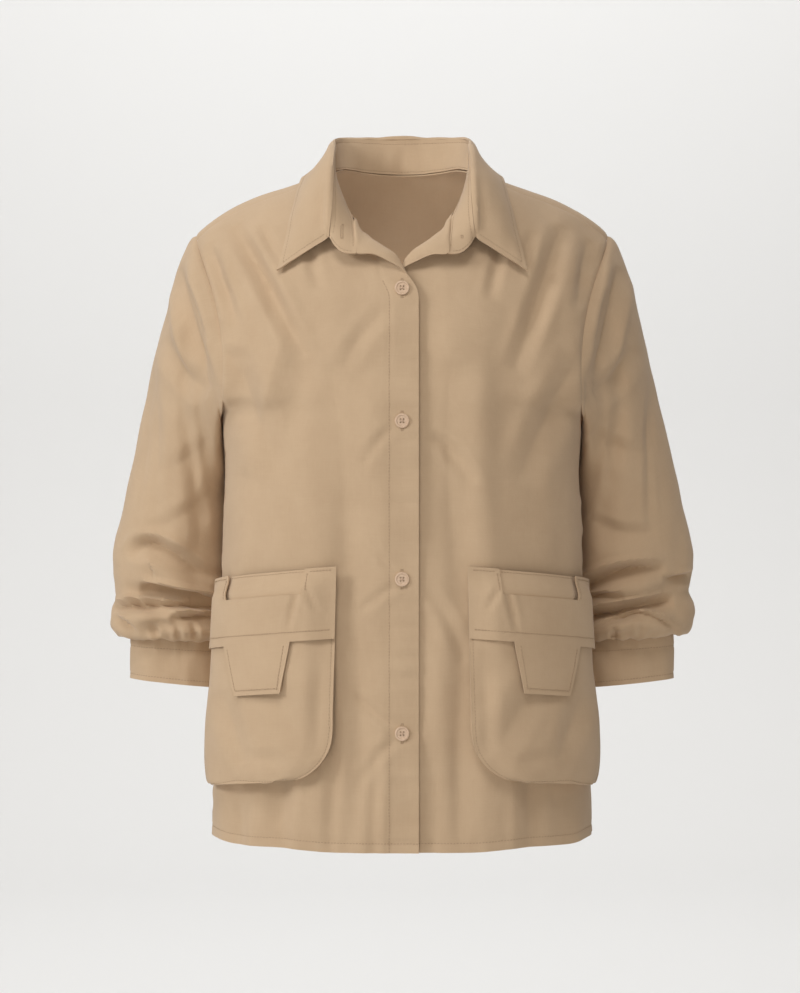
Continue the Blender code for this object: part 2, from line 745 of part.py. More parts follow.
# A button: turned disc with a raised rim, cut by four thread holes
def button(name, place, normal, collection, cutters, material, radius=BUTTON_RADIUS):
    profile = ((0.0, 0.0), (0.82, 0.0), (1.0, 0.07), (1.0, 0.21), (0.90, 0.30), (0.76, 0.29), (0.62, 0.20), (0.0, 0.20))
    mesh = bpy.data.meshes.new(name)
    shape = bmesh.new()
    verts = [shape.verts.new((r * radius, 0.0, h * radius)) for r, h in reversed(profile)]
    for a, b in zip(verts, verts[1:]):
        shape.edges.new((a, b))
    shape.to_mesh(mesh)
    shape.free()
    piece = bpy.data.objects.new(name, mesh)
    collection.objects.link(piece)
    mesh.materials.append(material)
    turned = piece.modifiers.new("turned", "SCREW")
    turned.steps = 14
    turned.render_steps = 14
    turned.use_merge_vertices = True
    turned.merge_threshold = 0.00005
    direction = Vector(normal).normalized()
    piece.rotation_euler = direction.to_track_quat("Z", "Y").to_euler()
    piece.location = Vector(place) + direction * SEAM_GAP
    cutter = hole_cutter(name + "_holes", radius, cutters)
    cutter.rotation_euler = piece.rotation_euler
    cutter.location = piece.location
    drilled = piece.modifiers.new("drilled", "BOOLEAN")
    drilled.operation = "DIFFERENCE"
    drilled.solver = "EXACT"
    drilled.object = cutter
    return piece


def hole_cutter(name, radius, cutters):
    mesh = bpy.data.meshes.new(name)
    shape = bmesh.new()
    spacing = 0.19 * radius
    for x in (-spacing, spacing):
        for y in (-spacing, spacing):
            made = bmesh.ops.create_cone(
                shape, cap_ends=True, segments=6, radius1=0.11 * radius, radius2=0.11 * radius, depth=radius)
            bmesh.ops.translate(shape, verts=made["verts"], vec=(x, y, 0.1 * radius))
    shape.to_mesh(mesh)
    shape.free()
    cutter = bpy.data.objects.new(name, mesh)
    cutter.display_type = "WIRE"
    cutter.hide_render = True
    cutters.objects.link(cutter)
    return cutter


def front_normal(across, z):
    step = 0.004
    side = front_point(across + step, z) - front_point(across - step, z)
    up = front_point(across, z + step) - front_point(across, z - step)
    normal = np.cross(side, up)
    return normal if normal[1] < 0 else -normal


# Seat of the button on the outer face of the stand's left end
def stand_button_seat(columns):
    column = columns[-2]
    before = columns[-3]
    away = unit(np.cross(column[3] - column[1], column[2] - before[2]))
    if away[1] < 0:
        away = -away
    return column[2] + away * (COLLAR_CLOTH + COLLAR_BUTTON_GAP), away


def build_pocket(side, mirror, collection, materials):
    outside = (-0.25 if mirror else 0.25, -0.30, -0.48)
    bag = mesh_object("pocket_bag_" + side, bag_rows(), collection, materials["pocket"], mirror=mirror)
    gusset = mesh_object("pocket_gusset_" + side, gusset_rows(), collection, materials["gusset"], mirror=mirror)
    rows, kept = flap_grid()
    flap = mesh_object("pocket_flap_" + side, rows, collection, materials["pocket"], kept=kept, mirror=mirror)
    mouth = mesh_object("pocket_mouth_" + side, mouth_rows(), collection, materials["pocket"], mirror=mirror)
    for piece, wall in ((bag, CLOTH), (flap, CLOTH), (mouth, MOUTH_CLOTH)):
        face_outward(piece, outside)
        thicken(piece, wall)
    face_outward(gusset, (0.0, -0.40, -0.48))
    thicken(gusset, GUSSET_CLOTH)


def build():
    clear_scene()
    collection = bpy.data.collections.new("shirt_jacket")
    cutters = bpy.data.collections.new("cutters")
    bpy.context.scene.collection.children.link(collection)
    bpy.context.scene.collection.children.link(cutters)
    materials = {
        "front": cloth_material("front_cloth", (0.49, 0.36, 0.245), 0.85),
        "back": cloth_material("back_cloth", (0.44, 0.32, 0.22), 0.85),
        "sleeve": cloth_material("sleeve_cloth", (0.46, 0.34, 0.23), 0.85),
        "cuff": cloth_material("cuff_cloth", (0.45, 0.33, 0.22), 0.85),
        "collar": cloth_material("collar_cloth", (0.50, 0.37, 0.25), 0.85),
        "pocket": cloth_material("pocket_cloth", (0.47, 0.35, 0.235), 0.85),
        "gusset": cloth_material("gusset_cloth", (0.40, 0.29, 0.19), 0.88),
        "button": cloth_material("button_plastic", (0.47, 0.33, 0.23), 0.40),
    }
    front = front_rows()
    back = back_rows()

    over = mesh_object("front_right", front, collection, materials["front"], mirror=True)
    under = mesh_object("front_left", sink_under(front), collection, materials["front"])
    rear = mesh_object("back", back, collection, materials["back"])
    for piece, outside in ((over, (-0.1, -0.5, -0.3)), (under, (0.1, -0.5, -0.3)), (rear, (0.0, 0.5, -0.3))):
        face_outward(piece, outside)
        thicken(piece, CLOTH)

    seam = neck_seam(front, back)
    stand_columns = stand_half(seam)
    stand = mesh_object("collar_stand", mirrored(stand_columns), collection, materials["collar"])
    leaf = mesh_object("collar_leaf", mirrored(leaf_half(seam)), collection, materials["collar"])
    face_outward(stand, (0.0, 0.0, 0.045))
    thicken(stand, COLLAR_CLOTH)
    face_outward(leaf, (0.0, 0.3, 0.1))
    thicken(leaf, COLLAR_CLOTH)

    loop = armhole_loop(front, back)
    for side, mirror in (("right", True), ("left", False)):
        sign = -1 if mirror else 1
        sleeve = mesh_object(
            "sleeve_" + side, sleeve_rings(loop), collection, materials["sleeve"], closed=True, mirror=mirror)
        cuff = mesh_object("cuff_" + side, cuff_rings(loop), collection, materials["cuff"], closed=True, mirror=mirror)
        face_outward(sleeve, (sign * 0.5, 0.05, -0.3))
        face_outward(cuff, (sign * 0.5, 0.05, -0.47))
        thicken(sleeve, CLOTH)
        thicken(cuff, COLLAR_CLOTH)
        build_pocket(side, mirror, collection, materials)

    for number, z in enumerate(BUTTON_HEIGHTS, 1):
        place = front_point(0.0, z)
        button("button_%d" % number, place, front_normal(0.0, z), collection, cutters, materials["button"])
    place, away = stand_button_seat(stand_columns)
    button(
        "button_collar", place, away, collection, cutters, materials["button"], radius=COLLAR_BUTTON_RADIUS)


build()
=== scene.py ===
import json
import math

import bmesh
import bpy
import numpy as np
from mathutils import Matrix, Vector, noise
from mathutils.bvhtree import BVHTree

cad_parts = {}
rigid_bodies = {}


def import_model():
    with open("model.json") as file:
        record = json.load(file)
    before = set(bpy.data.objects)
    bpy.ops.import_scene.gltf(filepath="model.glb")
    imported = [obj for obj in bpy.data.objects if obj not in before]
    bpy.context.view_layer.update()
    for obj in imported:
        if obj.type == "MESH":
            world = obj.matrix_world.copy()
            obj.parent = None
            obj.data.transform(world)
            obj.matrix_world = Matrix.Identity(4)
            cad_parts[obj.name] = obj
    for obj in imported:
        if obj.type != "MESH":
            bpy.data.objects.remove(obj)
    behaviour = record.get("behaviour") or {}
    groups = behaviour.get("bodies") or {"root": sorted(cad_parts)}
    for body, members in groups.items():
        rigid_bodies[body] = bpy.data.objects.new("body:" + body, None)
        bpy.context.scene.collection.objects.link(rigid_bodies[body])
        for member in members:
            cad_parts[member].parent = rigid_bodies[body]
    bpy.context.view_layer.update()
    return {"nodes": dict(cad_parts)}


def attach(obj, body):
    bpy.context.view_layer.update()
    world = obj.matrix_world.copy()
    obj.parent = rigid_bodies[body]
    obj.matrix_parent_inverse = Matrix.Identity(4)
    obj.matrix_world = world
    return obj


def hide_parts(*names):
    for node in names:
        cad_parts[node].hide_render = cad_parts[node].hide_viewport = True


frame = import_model()
print("frame loaded:", len(frame["nodes"]), "nodes")

# Shirt jacket in soft tan cotton, in metres, with the wearer's right at -X. The
# forms are worked out as for the solids, on a finer mesh, and the creases are
# then laid into them.
sides = (("right", -1), ("left", 1))


# Interpolation through a table's rows with smooth tangents
def smoothTable(table, position):
    rows = np.array(table, dtype=float)
    keys = rows[:, 0]
    values = rows[:, 1:]
    if keys[0] > keys[-1]:
        keys = keys[::-1]
        values = values[::-1]
    slopes = np.gradient(values, keys, axis=0)
    place = min(max(position, keys[0]), keys[-1])
    index = int(min(np.searchsorted(keys, place, side="right"), len(keys) - 1)) - 1
    index = max(index, 0)
    span = keys[index + 1] - keys[index]
    t = (place - keys[index]) / span
    near = (1 + 2 * t) * (1 - t) ** 2 * values[index] + t * (1 - t) ** 2 * span * slopes[index]
    far = t * t * (3 - 2 * t) * values[index + 1] + t * t * (t - 1) * span * slopes[index + 1]
    return near + far


def ramp(low, high, value):
    t = min(max((value - low) / (high - low), 0.0), 1.0)
    return t * t * (3 - 2 * t)


def smoothStep(low, high, values):
    t = np.clip((values - low) / (high - low), 0.0, 1.0)
    return t * t * (3 - 2 * t)


def unit(vector):
    return vector / np.linalg.norm(vector)


# Lengths along a line of points, from its start
def runsAlong(points):
    steps = [float(np.linalg.norm(b - a)) for a, b in zip(points, points[1:])]
    return np.concatenate(([0.0], np.cumsum(steps)))


# Finer rows through coarse ones, with smooth slopes between them
def spread(points, cell, closed=False):
    if closed:
        points = np.concatenate((points[-3:], points, points[:4]))
    steps = np.linalg.norm(np.diff(points, axis=0), axis=2)
    lengths = np.maximum(steps.mean(axis=1), 1e-5)
    keys = np.concatenate(([0.0], np.cumsum(lengths)))
    slopes = np.gradient(points, keys, axis=0)
    fresh = []
    for index in range(len(keys) - 1):
        if closed and not 3 <= index < len(points) - 4:
            continue
        count = max(1, int(round(max(lengths[index], steps[index].max() * 0.6) / cell)))
        fresh += [keys[index] + (keys[index + 1] - keys[index]) * k / count for k in range(count)]
    fresh.append(keys[len(points) - 4] if closed else keys[-1])
    fresh = np.array(fresh)
    index = np.clip(np.searchsorted(keys, fresh, side="right") - 1, 0, len(keys) - 2)
    span = (keys[index + 1] - keys[index])[:, None, None]
    t = (fresh - keys[index])[:, None, None] / span
    a, b = points[index], points[index + 1]
    near = (1 + 2 * t) * (1 - t) ** 2 * a + t * (1 - t) ** 2 * span * slopes[index]
    return near + t * t * (3 - 2 * t) * b + t * t * (t - 1) * span * slopes[index + 1]


def refine(rows, cell, closed=False):
    grid = spread(np.array(rows, dtype=float), cell)
    return spread(grid.transpose(1, 0, 2), cell, closed).transpose(1, 0, 2)


# Unit normals of a grid, turned to the side of the outside point
def gridNormals(grid, outside):
    normals = np.cross(np.gradient(grid, axis=1), np.gradient(grid, axis=0))
    normals /= np.maximum(np.linalg.norm(normals, axis=2, keepdims=True), 1e-9)
    away = np.array(outside) - grid
    flat = np.argmin(np.linalg.norm(away, axis=2))
    row, column = divmod(int(flat), grid.shape[1])
    return normals if float(normals[row, column] @ away[row, column]) > 0 else -normals


def mirrorGrid(grid):
    return grid * np.array((-1.0, 1.0, 1.0))


# A grid turned so that the named edge is its first row
def fromEdge(grid, edge):
    turned = grid.transpose(1, 0, 2) if edge in ("left", "right") else grid
    return turned[::-1] if edge in ("right", "top") else turned


# Lengths along the cloth in from the first row, column by column
def lengthsIn(grid):
    steps = np.linalg.norm(np.diff(grid, axis=0), axis=2)
    return np.concatenate((np.zeros((1, grid.shape[1])), np.cumsum(steps, axis=0)))


# How far each point of a grid lies from one of its edges, along the cloth
def depthFrom(grid, edge):
    depths = lengthsIn(fromEdge(grid, edge))
    depths = depths[::-1] if edge in ("right", "top") else depths
    return depths.T if edge in ("left", "right") else depths


def nearEdge(grid, edge, reach):
    return np.exp(-(depthFrom(grid, edge) / reach) ** 2)


# Creases laid in the view from the front: start, middle and end across and up,
# half width, depth (a ridge is negative). They fade to both ends. An overhang
# under 1 makes the upper side steep, as where slack cloth hangs over a fold.
def layCreases(grid, normals, creases, facing, overhang=1.0):
    flat = grid[:, :, (0, 2)]
    mask = smoothStep(0.02, 0.40, facing * normals[:, :, 1])
    total = np.zeros(mask.shape)
    for *points, halfWidth, depth in creases:
        start, middle, end = np.reshape(points, (3, 2))
        shares = np.linspace(0, 1, 13)
        line = [(1 - t) ** 2 * start + 2 * t * (1 - t) * middle + t * t * end for t in shares]
        best = np.full(mask.shape, 1e9)
        run = np.zeros(mask.shape)
        above = np.zeros(mask.shape, dtype=bool)
        for k in range(len(line) - 1):
            along = line[k + 1] - line[k]
            t = np.clip(((flat - line[k]) @ along) / float(along @ along), 0, 1)
            away = flat - line[k] - t[:, :, None] * along
            gap = np.linalg.norm(away, axis=2)
            closer = gap < best
            above = np.where(closer, away[:, :, 1] > 0, above)
            best = np.where(closer, gap, best)
            run = np.where(closer, (k + t) / (len(line) - 1), run)
        fade = np.sin(np.pi * np.clip(run, 0.0, 1.0)) ** 0.6
        level = abs(end[0] - start[0]) / math.hypot(*(end - start))
        steep = (1.0 - overhang) * level ** 2
        side = best / (halfWidth * np.where(above, 1.0 - steep, 1.0 + steep))
        swell = 0.38 * np.exp(-((side - 1.9) / 0.8) ** 2)
        total += 1.4 * depth * fade * (np.exp(-side ** 1.4) - swell)
    return grid - normals * (total * mask)[:, :, None]


# Creases of the +X side, for either side
def sidedCreases(creases, sign):
    return [(sign * a, b, sign * c, d, sign * e, f, g, h) for a, b, c, d, e, f, g, h in creases]


# Slow unevenness of worn cotton, the same on all pieces that meet
def ripple(grid, normals, amount, size, seed=0.0):
    flat = grid.reshape(-1, 3)
    heights = np.array([noise.noise(Vector(p) / size + Vector((seed, 0.0, 0.0))) for p in flat])
    return grid + normals * (heights.reshape(grid.shape[:2]) * amount)[:, :, None]


# Long uneven wrinkles: noise drawn out across and up, where the mask lets it
def drawnOut(grid, normals, amount, sizeX, sizeZ, mask=1.0, seed=0.0):
    flat = grid.reshape(-1, 3) / np.array((sizeX, 0.08, sizeZ)) + seed
    heights = np.array([noise.noise(Vector(p)) for p in flat]).reshape(grid.shape[:2])
    heights = np.sign(heights) * np.abs(heights) ** 1.15
    return grid + normals * (heights * amount * mask)[:, :, None]


def deselectAll():
    for item in bpy.context.view_layer.objects:
        item.select_set(False)


def makeActive(piece):
    deselectAll()
    piece.select_set(True)
    bpy.context.view_layer.objects.active = piece


# Mean lengths along a grid's rows or columns, for the cloth's own map
def meanRuns(grid, axis):
    steps = np.linalg.norm(np.diff(grid, axis=axis), axis=2).mean(axis=1 - axis)
    return np.concatenate(([0.0], np.cumsum(steps)))


# A cloth piece: a grid primitive laid out on its points, then given its wall
def clothPiece(name, grid, outside, wall, kept=None, closed=False):
    rows, columns = grid.shape[:2]
    deselectAll()
    bpy.ops.mesh.primitive_grid_add(
        x_subdivisions=columns - 1, y_subdivisions=rows - 1, size=1.0, calc_uvs=True)
    piece = bpy.context.active_object
    piece.name = name
    mesh = piece.data
    mesh.name = name
    mesh.vertices.foreach_set("co", grid.reshape(-1))
    corner = np.zeros(len(mesh.loops), dtype=np.int32)
    mesh.loops.foreach_get("vertex_index", corner)
    across = meanRuns(grid, 1)[corner % columns]
    along = meanRuns(grid, 0)[corner // columns]
    ownMap = np.stack((across, along), axis=1)
    mesh.uv_layers.active.data.foreach_set("uv", ownMap.reshape(-1).astype(np.float32))
    mesh.update()
    makeActive(piece)
    bpy.ops.object.mode_set(mode="EDIT")
    if kept is not None:
        shape = bmesh.from_edit_mesh(mesh)
        lows = [(face, min(v.index for v in face.verts)) for face in shape.faces]
        doomed = [face for face, low in lows if not kept(low // columns, low % columns)]
        bmesh.ops.delete(shape, geom=doomed, context="FACES")
        bmesh.update_edit_mesh(mesh)
    bpy.ops.mesh.select_all(action="SELECT")
    if closed:
        bpy.ops.mesh.remove_doubles(threshold=0.00002)
    shape = bmesh.from_edit_mesh(mesh)
    shape.normal_update()
    target = Vector(outside)
    nearest = min(shape.faces, key=lambda face: (face.calc_center_median() - target).length)
    if nearest.normal.dot(target - nearest.calc_center_median()) < 0:
        bpy.ops.mesh.flip_normals()
    bpy.ops.object.mode_set(mode="OBJECT")
    solid = piece.modifiers.new("wall", "SOLIDIFY")
    solid.thickness = wall
    solid.offset = -1.0
    bpy.ops.object.modifier_apply(modifier=solid.name)
    bpy.ops.object.shade_smooth_by_angle(angle=math.radians(50))
    return piece


# Stitches and seams: a stitch's pitch and size, how far it wanders off its
# line, and the dips that rows and seams pull into the cloth
sewing = {
    "pitch": 0.0031,
    "length": 0.0021,
    "width": 0.00070,
    "height": 0.00028,
    "wander": 0.00010,
    "bevel": 0.22,
    "rowHalfWidth": 0.0016,
    "seamDepth": 0.0012,
    "seamHalfWidth": 0.0022,
}
threadLines = []


# A sewn line pulls the cloth in: a narrow trough at an inset from an edge
def sewnTrough(grid, normals, edge, inset, depth, halfWidth=sewing["rowHalfWidth"]):
    trough = depth * np.exp(-((depthFrom(grid, edge) - inset) / halfWidth) ** 2)
    return grid - normals * trough[:, :, None]


# Seamed edges go back to where their neighbours meet them, each in its own dip
def closeSeams(grid, normals, base, edges, reach=0.006):
    mask = np.ones(grid.shape[:2])
    for edge in edges:
        mask *= 1 - nearEdge(base, edge, reach)
    grid = base + (grid - base) * mask[:, :, None]
    for edge in edges:
        grid = sewnTrough(grid, normals, edge, 0.0, sewing["seamDepth"], sewing["seamHalfWidth"])
    return grid


# Points and normals on a grid at an inset from one of its edges
def insetLine(grid, normals, edge, inset, trim=0.0):
    grid = fromEdge(grid, edge)
    normals = fromEdge(normals, edge)
    lengths = lengthsIn(grid)
    points = []
    outs = []
    for column in range(grid.shape[1]):
        k = int(np.clip(np.searchsorted(lengths[:, column], inset) - 1, 0, len(lengths) - 2))
        t = (inset - lengths[k, column]) / max(lengths[k + 1, column] - lengths[k, column], 1e-9)
        points.append(grid[k, column] * (1 - t) + grid[k + 1, column] * t)
        outs.append(normals[k, column])
    runs = runsAlong(points)
    inside = (runs >= trim) & (runs <= runs[-1] - trim)
    return np.array(points)[inside], np.array(outs)[inside]


# Rows of stitches along edges at one inset, each in its own dip
def sewEdges(grid, normals, edges, inset, depth, trim=0.0):
    for edge in edges:
        grid = sewnTrough(grid, normals, edge, inset, depth)
    for edge in edges:
        threadLines.append(insetLine(grid, normals, edge, inset, trim))
    return grid


def listedPiece(name, verts, faces):
    mesh = bpy.data.meshes.new(name)
    mesh.from_pydata(verts, [], faces)
    piece = bpy.data.objects.new(name, mesh)
    bpy.context.scene.collection.objects.link(piece)
    return piece


# One stitch is modelled, then set along all the sewn lines
def sewAll(name):
    deselectAll()
    bpy.ops.mesh.primitive_cube_add(size=1.0)
    stitch = bpy.context.active_object
    bpy.ops.object.mode_set(mode="EDIT")
    bpy.ops.mesh.bevel(offset=sewing["bevel"], segments=1, affect="EDGES")
    bpy.ops.object.mode_set(mode="OBJECT")
    single = np.array([v.co[:] for v in stitch.data.vertices])
    stitchFaces = [tuple(p.vertices) for p in stitch.data.polygons]
    bpy.data.objects.remove(stitch, do_unlink=True)
    local = single * np.array((sewing["length"], sewing["width"], 2 * sewing["height"]))
    verts = []
    faces = []
    rng = np.random.default_rng(7)
    for points, outs in threadLines:
        runs = runsAlong(points)
        for place in np.arange(0.5 * sewing["pitch"], runs[-1], sewing["pitch"]):
            k = int(np.clip(np.searchsorted(runs, place) - 1, 0, len(runs) - 2))
            t = (place - runs[k]) / max(runs[k + 1] - runs[k], 1e-9)
            centre = points[k] * (1 - t) + points[k + 1] * t
            along = unit(points[k + 1] - points[k])
            out = outs[k] * (1 - t) + outs[k + 1] * t
            out = unit(out - along * float(out @ along))
            side = np.cross(out, along)
            centre = centre + side * rng.normal(0.0, sewing["wander"])
            first = len(verts)
            verts.extend((centre + local @ np.array((along, side, out))).tolist())
            faces.extend([tuple(first + i for i in f) for f in stitchFaces])
    print("stitches:", len(faces) // len(stitchFaces))
    return listedPiece(name, verts, faces)


def treeOf(piece):
    return BVHTree.FromObject(piece, bpy.context.evaluated_depsgraph_get())


# Shader maths in plain expressions
class Wire:
    def __init__(self, shader, socket):
        self.shader = shader
        self.socket = socket

    def blend(self, kind, other, swap=False):
        first = self.socket
        second = other.socket if isinstance(other, Wire) else other
        if swap:
            first, second = second, first
        return self.shader.node("ShaderNodeMath", {"operation": kind}, {0: first, 1: second})

    def __add__(self, other): return self.blend("ADD", other)
    def __radd__(self, other): return self.blend("ADD", other)
    def __sub__(self, other): return self.blend("SUBTRACT", other)
    def __rsub__(self, other): return self.blend("SUBTRACT", other, True)
    def __mul__(self, other): return self.blend("MULTIPLY", other)
    def __rmul__(self, other): return self.blend("MULTIPLY", other)
    def __pow__(self, other): return self.blend("POWER", other)


class Shader:
    def __init__(self, name):
        self.material = bpy.data.materials.new(name)
        self.material.use_nodes = True
        self.tree = self.material.node_tree
        self.main = self.tree.nodes["Principled BSDF"]

    def put(self, target, value):
        if isinstance(value, Wire):
            value = value.socket
        if isinstance(value, bpy.types.NodeSocket):
            self.tree.links.new(value, target)
        else:
            target.default_value = value

    def node(self, kind, settings=None, inputs=None, output=0):
        made = self.tree.nodes.new(kind)
        for key, value in (settings or {}).items():
            if key == "stops":
                ramp = made.color_ramp
                for index, (place, colour) in enumerate(value):
                    stop = ramp.elements[index] if index < 2 else ramp.elements.new(place)
                    stop.position = place
                    stop.color = colour
            else:
                setattr(made, key, value)
        for key, value in (inputs or {}).items():
            self.put(made.inputs[key], value)
        return Wire(self, made.outputs[output])

    def constant(self, name, value):
        self.main.inputs[name].default_value = value


clothLook = {
    "light": (0.520, 0.374, 0.241, 1.0),
    "dark": (0.472, 0.332, 0.210, 1.0),
    "mottleScale": 26.0,
    "slubScale": 900.0,
    "threadsPerMetre": 1700.0,
    "crumpleScale": 70.0,
    "crinkleScale": 26.0,
    "crinkleLength": 0.42,
    "patchScale": 9.0,
    "weaveDepth": 0.35,
    "crumpleDepth": 0.30,
    "crinkleDepth": 0.60,
    "roughness": 0.86,
    "sheen": 0.12,
    "sheenRoughness": 0.6,
    "specular": 0.25,
}


# Fine plain-weave cotton: threads follow the cloth's own map, mottling and
# crinkles the object
def cottonMaterial(name, look):
    shader = Shader(name)
    place = shader.node("ShaderNodeTexCoord", output="Object")
    cloth = shader.node("ShaderNodeTexCoord", output="UV")

    def speckle(where, scale, detail, settings=None, **more):
        inputs = {"Vector": where, "Scale": scale, "Detail": detail, **more}
        return shader.node("ShaderNodeTexNoise", settings, inputs)

    def stretched(where, scale, rotation=(0.0, 0.0, 0.0)):
        inputs = {"Vector": where, "Rotation": rotation, "Scale": scale}
        return shader.node("ShaderNodeMapping", {}, inputs)

    def raised(height, strength, distance, **under):
        inputs = {"Height": height, "Strength": strength, "Distance": distance, **under}
        return shader.node("ShaderNodeBump", {}, inputs)

    mottle = speckle(place, look["mottleScale"], 5.0, Roughness=0.6)
    warp = speckle(stretched(cloth, (1.0, 0.05, 1.0)), look["slubScale"], 2.0)
    weft = speckle(stretched(cloth, (0.05, 1.0, 1.0)), look["slubScale"], 2.0)
    threads = speckle(cloth, look["threadsPerMetre"], 1.0)
    weave = warp * 0.4 + weft * 0.4 + threads * 0.35
    tone = mottle * 0.55 + weave * 0.45
    stops = {"stops": ((0.34, look["dark"]), (0.68, look["light"]))}
    colour = shader.node("ShaderNodeValToRGB", stops, {"Fac": tone})
    crumple = speckle(place, look["crumpleScale"], 4.0, Roughness=0.55)
    longWay = stretched(place, (1.0, 1.0, look["crinkleLength"]), (0.0, 0.35, 0.0))
    ridged = {"noise_type": "RIDGED_MULTIFRACTAL"}
    ridges = speckle(longWay, look["crinkleScale"], 2.0, ridged, Roughness=0.5, Distortion=0.6)
    patches = speckle(place, look["patchScale"], 1.0)
    creased = raised(ridges * ((patches - 0.38) * 2.2), look["crinkleDepth"], 0.0024)
    soft = raised(crumple, look["crumpleDepth"], 0.0012, Normal=creased)
    shader.put(shader.main.inputs["Base Color"], colour)
    shader.put(shader.main.inputs["Normal"], raised(weave, look["weaveDepth"], 0.0003, Normal=soft))
    shader.constant("Roughness", look["roughness"])
    shader.constant("Sheen Weight", look["sheen"])
    shader.constant("Sheen Roughness", look["sheenRoughness"])
    shader.constant("Specular IOR Level", look["specular"])
    return shader.material


# Thread for stitches and buttonholes, darker than the cloth: partly the thread's own colour, partly
# painted shade of the needle holes along the rows
threadWithHoleShadeLook = {
    "colour": (0.35, 0.243, 0.153, 1.0),
    "second": (0.42, 0.295, 0.19, 1.0),
    "roughness": 0.8,
    "scale": 600.0,
    "bumpDepth": 0.3,
}
buttonLook = {
    "colour": (0.56, 0.395, 0.27, 1.0),
    "second": (0.61, 0.44, 0.31, 1.0),
    "roughness": 0.40,
    "scale": 240.0,
    "bumpDepth": 0.15,
}


def plainMaterial(name, colour, second, roughness, scale, bumpDepth):
    shader = Shader(name)
    place = shader.node("ShaderNodeTexCoord", output="Object")
    grain = shader.node("ShaderNodeTexNoise", {}, {"Vector": place, "Scale": scale, "Detail": 3.0})
    mix = shader.node("ShaderNodeValToRGB", {"stops": ((0.35, colour), (0.65, second))}, {"Fac": grain})
    bump = shader.node("ShaderNodeBump", {}, {"Height": grain, "Strength": bumpDepth, "Distance": 0.0002})
    shader.put(shader.main.inputs["Base Color"], mix)
    shader.put(shader.main.inputs["Normal"], bump)
    shader.put(shader.main.inputs["Roughness"], grain * 0.1 + (roughness - 0.05))
    return shader.material


cotton = cottonMaterial("soft cotton", clothLook)
# Its darker colour is partly painted shade of the needle holes
thread = plainMaterial("cotton thread with painted hole shade", **threadWithHoleShadeLook)
plastic = plainMaterial("button plastic", **buttonLook)
print("materials made")


def dress(piece, material, slotName, *nodes):
    piece.data.materials.clear()
    piece.data.materials.append(material)
    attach(piece, "root")
    if nodes:
        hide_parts(*nodes)


# The body's form. Torso rows from chest to hem: height, half width, front y, back
# y and centre y. Armhole rows: height and half width.
bodyForm = {
    "torso": (
        (-0.190, 0.2120, -0.1320, 0.1180, 0.000),
        (-0.212, 0.2010, -0.1350, 0.1165, -0.003),
        (-0.235, 0.1797, -0.1370, 0.1150, -0.006),
        (-0.300, 0.1790, -0.1375, 0.1120, -0.010),
        (-0.380, 0.1792, -0.1365, 0.1110, -0.012),
        (-0.460, 0.1822, -0.1365, 0.1120, -0.012),
        (-0.550, 0.1865, -0.1375, 0.1150, -0.011),
        (-0.651, 0.1892, -0.1385, 0.1180, -0.010),
    ),
    "armhole": (
        (-0.235, 0.1797),
        (-0.210, 0.1768),
        (-0.178, 0.1757),
        (-0.147, 0.1785),
        (-0.112, 0.1860),
        (-0.077, 0.1980),
        (-0.058, 0.2050),
        (-0.045, 0.2075),
    ),
    "chestZ": -0.190,
    "underarmZ": -0.235,
    "ridgeY": 0.015,
    "ridgeNeckZ": 0.016,
    "ridgeSlope": 0.32,
    "ridgeRun": 0.137,
    "ridgeTipDrop": 0.0190,
    "ridgeTipPower": 5,
    "sectionPower": 2.2,
    "waistSectionPower": 2.4,
    "waistZ": -0.300,
    "backFullness": 0.85,
    "neckHalfWidth": 0.070,
    "seamAngle": 0.30,
    "neckSeamAngle": 0.12,
    "seamShare": 1 - math.cos(0.30),
    "lowerRows": (-0.651, -0.600, -0.550, -0.500, -0.445, -0.390, -0.335, -0.282, -0.235, -0.212, -0.190),
    "sideGap": np.array((0.0, 0.0005, 0.0)),
    "shoulderGap": np.array((0.0, 0.0004, 0.0000)),
    "frontColumns": 11,
    "cloth": 0.0015,
    "seamGap": 0.0002,
}


# Shoulder ridge height at a distance from the centre
def ridgeZ(across):
    beyond = abs(across) - bodyForm["neckHalfWidth"]
    tipShare = max(beyond / bodyForm["ridgeRun"], 0.0)
    tipDrop = bodyForm["ridgeTipDrop"] * tipShare ** bodyForm["ridgeTipPower"]
    return bodyForm["ridgeNeckZ"] - bodyForm["ridgeSlope"] * beyond - tipDrop


# How square a section is: it fills out a little below the chest
def sectionPower(z):
    level = min(z, bodyForm["chestZ"])
    chest, waist = bodyForm["sectionPower"], bodyForm["waistSectionPower"]
    return chest + (waist - chest) * ramp(bodyForm["chestZ"], bodyForm["waistZ"], level)


# The body's surface: y at a place across and up, on the front or the back
def bodyY(across, z, back):
    level = min(z, bodyForm["chestZ"])
    halfWidth, frontY, backY, centre = smoothTable(bodyForm["torso"], level)
    power = sectionPower(level)
    share = min(abs(across) / halfWidth, 1.0)
    swell = (1 - share ** power) ** (1 / power)
    edgeY = backY if back else frontY
    y = centre + (edgeY - centre) * swell
    if z > bodyForm["chestZ"]:
        top = ridgeZ(across)
        rise = min(max((top - z) / (top - bodyForm["chestZ"]), 0.0), 1.0)
        roundness = bodyForm["backFullness"] if back else 1.0
        y = bodyForm["ridgeY"] + (y - bodyForm["ridgeY"]) * math.sqrt(1 - (1 - rise) ** 2) ** roundness
    return y


# The turn round the body's section at a place across, and the other way about
def turnOf(across, z):
    halfWidth = smoothTable(bodyForm["torso"], min(z, bodyForm["chestZ"]))[0]
    share = min(abs(across) / halfWidth, 1.0) ** (sectionPower(min(z, bodyForm["chestZ"])) / 2)
    return math.copysign(math.asin(share), across)


def acrossOf(turn, z):
    halfWidth = smoothTable(bodyForm["torso"], min(z, bodyForm["chestZ"]))[0]
    power = sectionPower(min(z, bodyForm["chestZ"]))
    return math.copysign(halfWidth * abs(math.sin(turn)) ** (2 / power), turn)


def armholeAcross(z):
    return smoothTable(bodyForm["armhole"], z)[0]


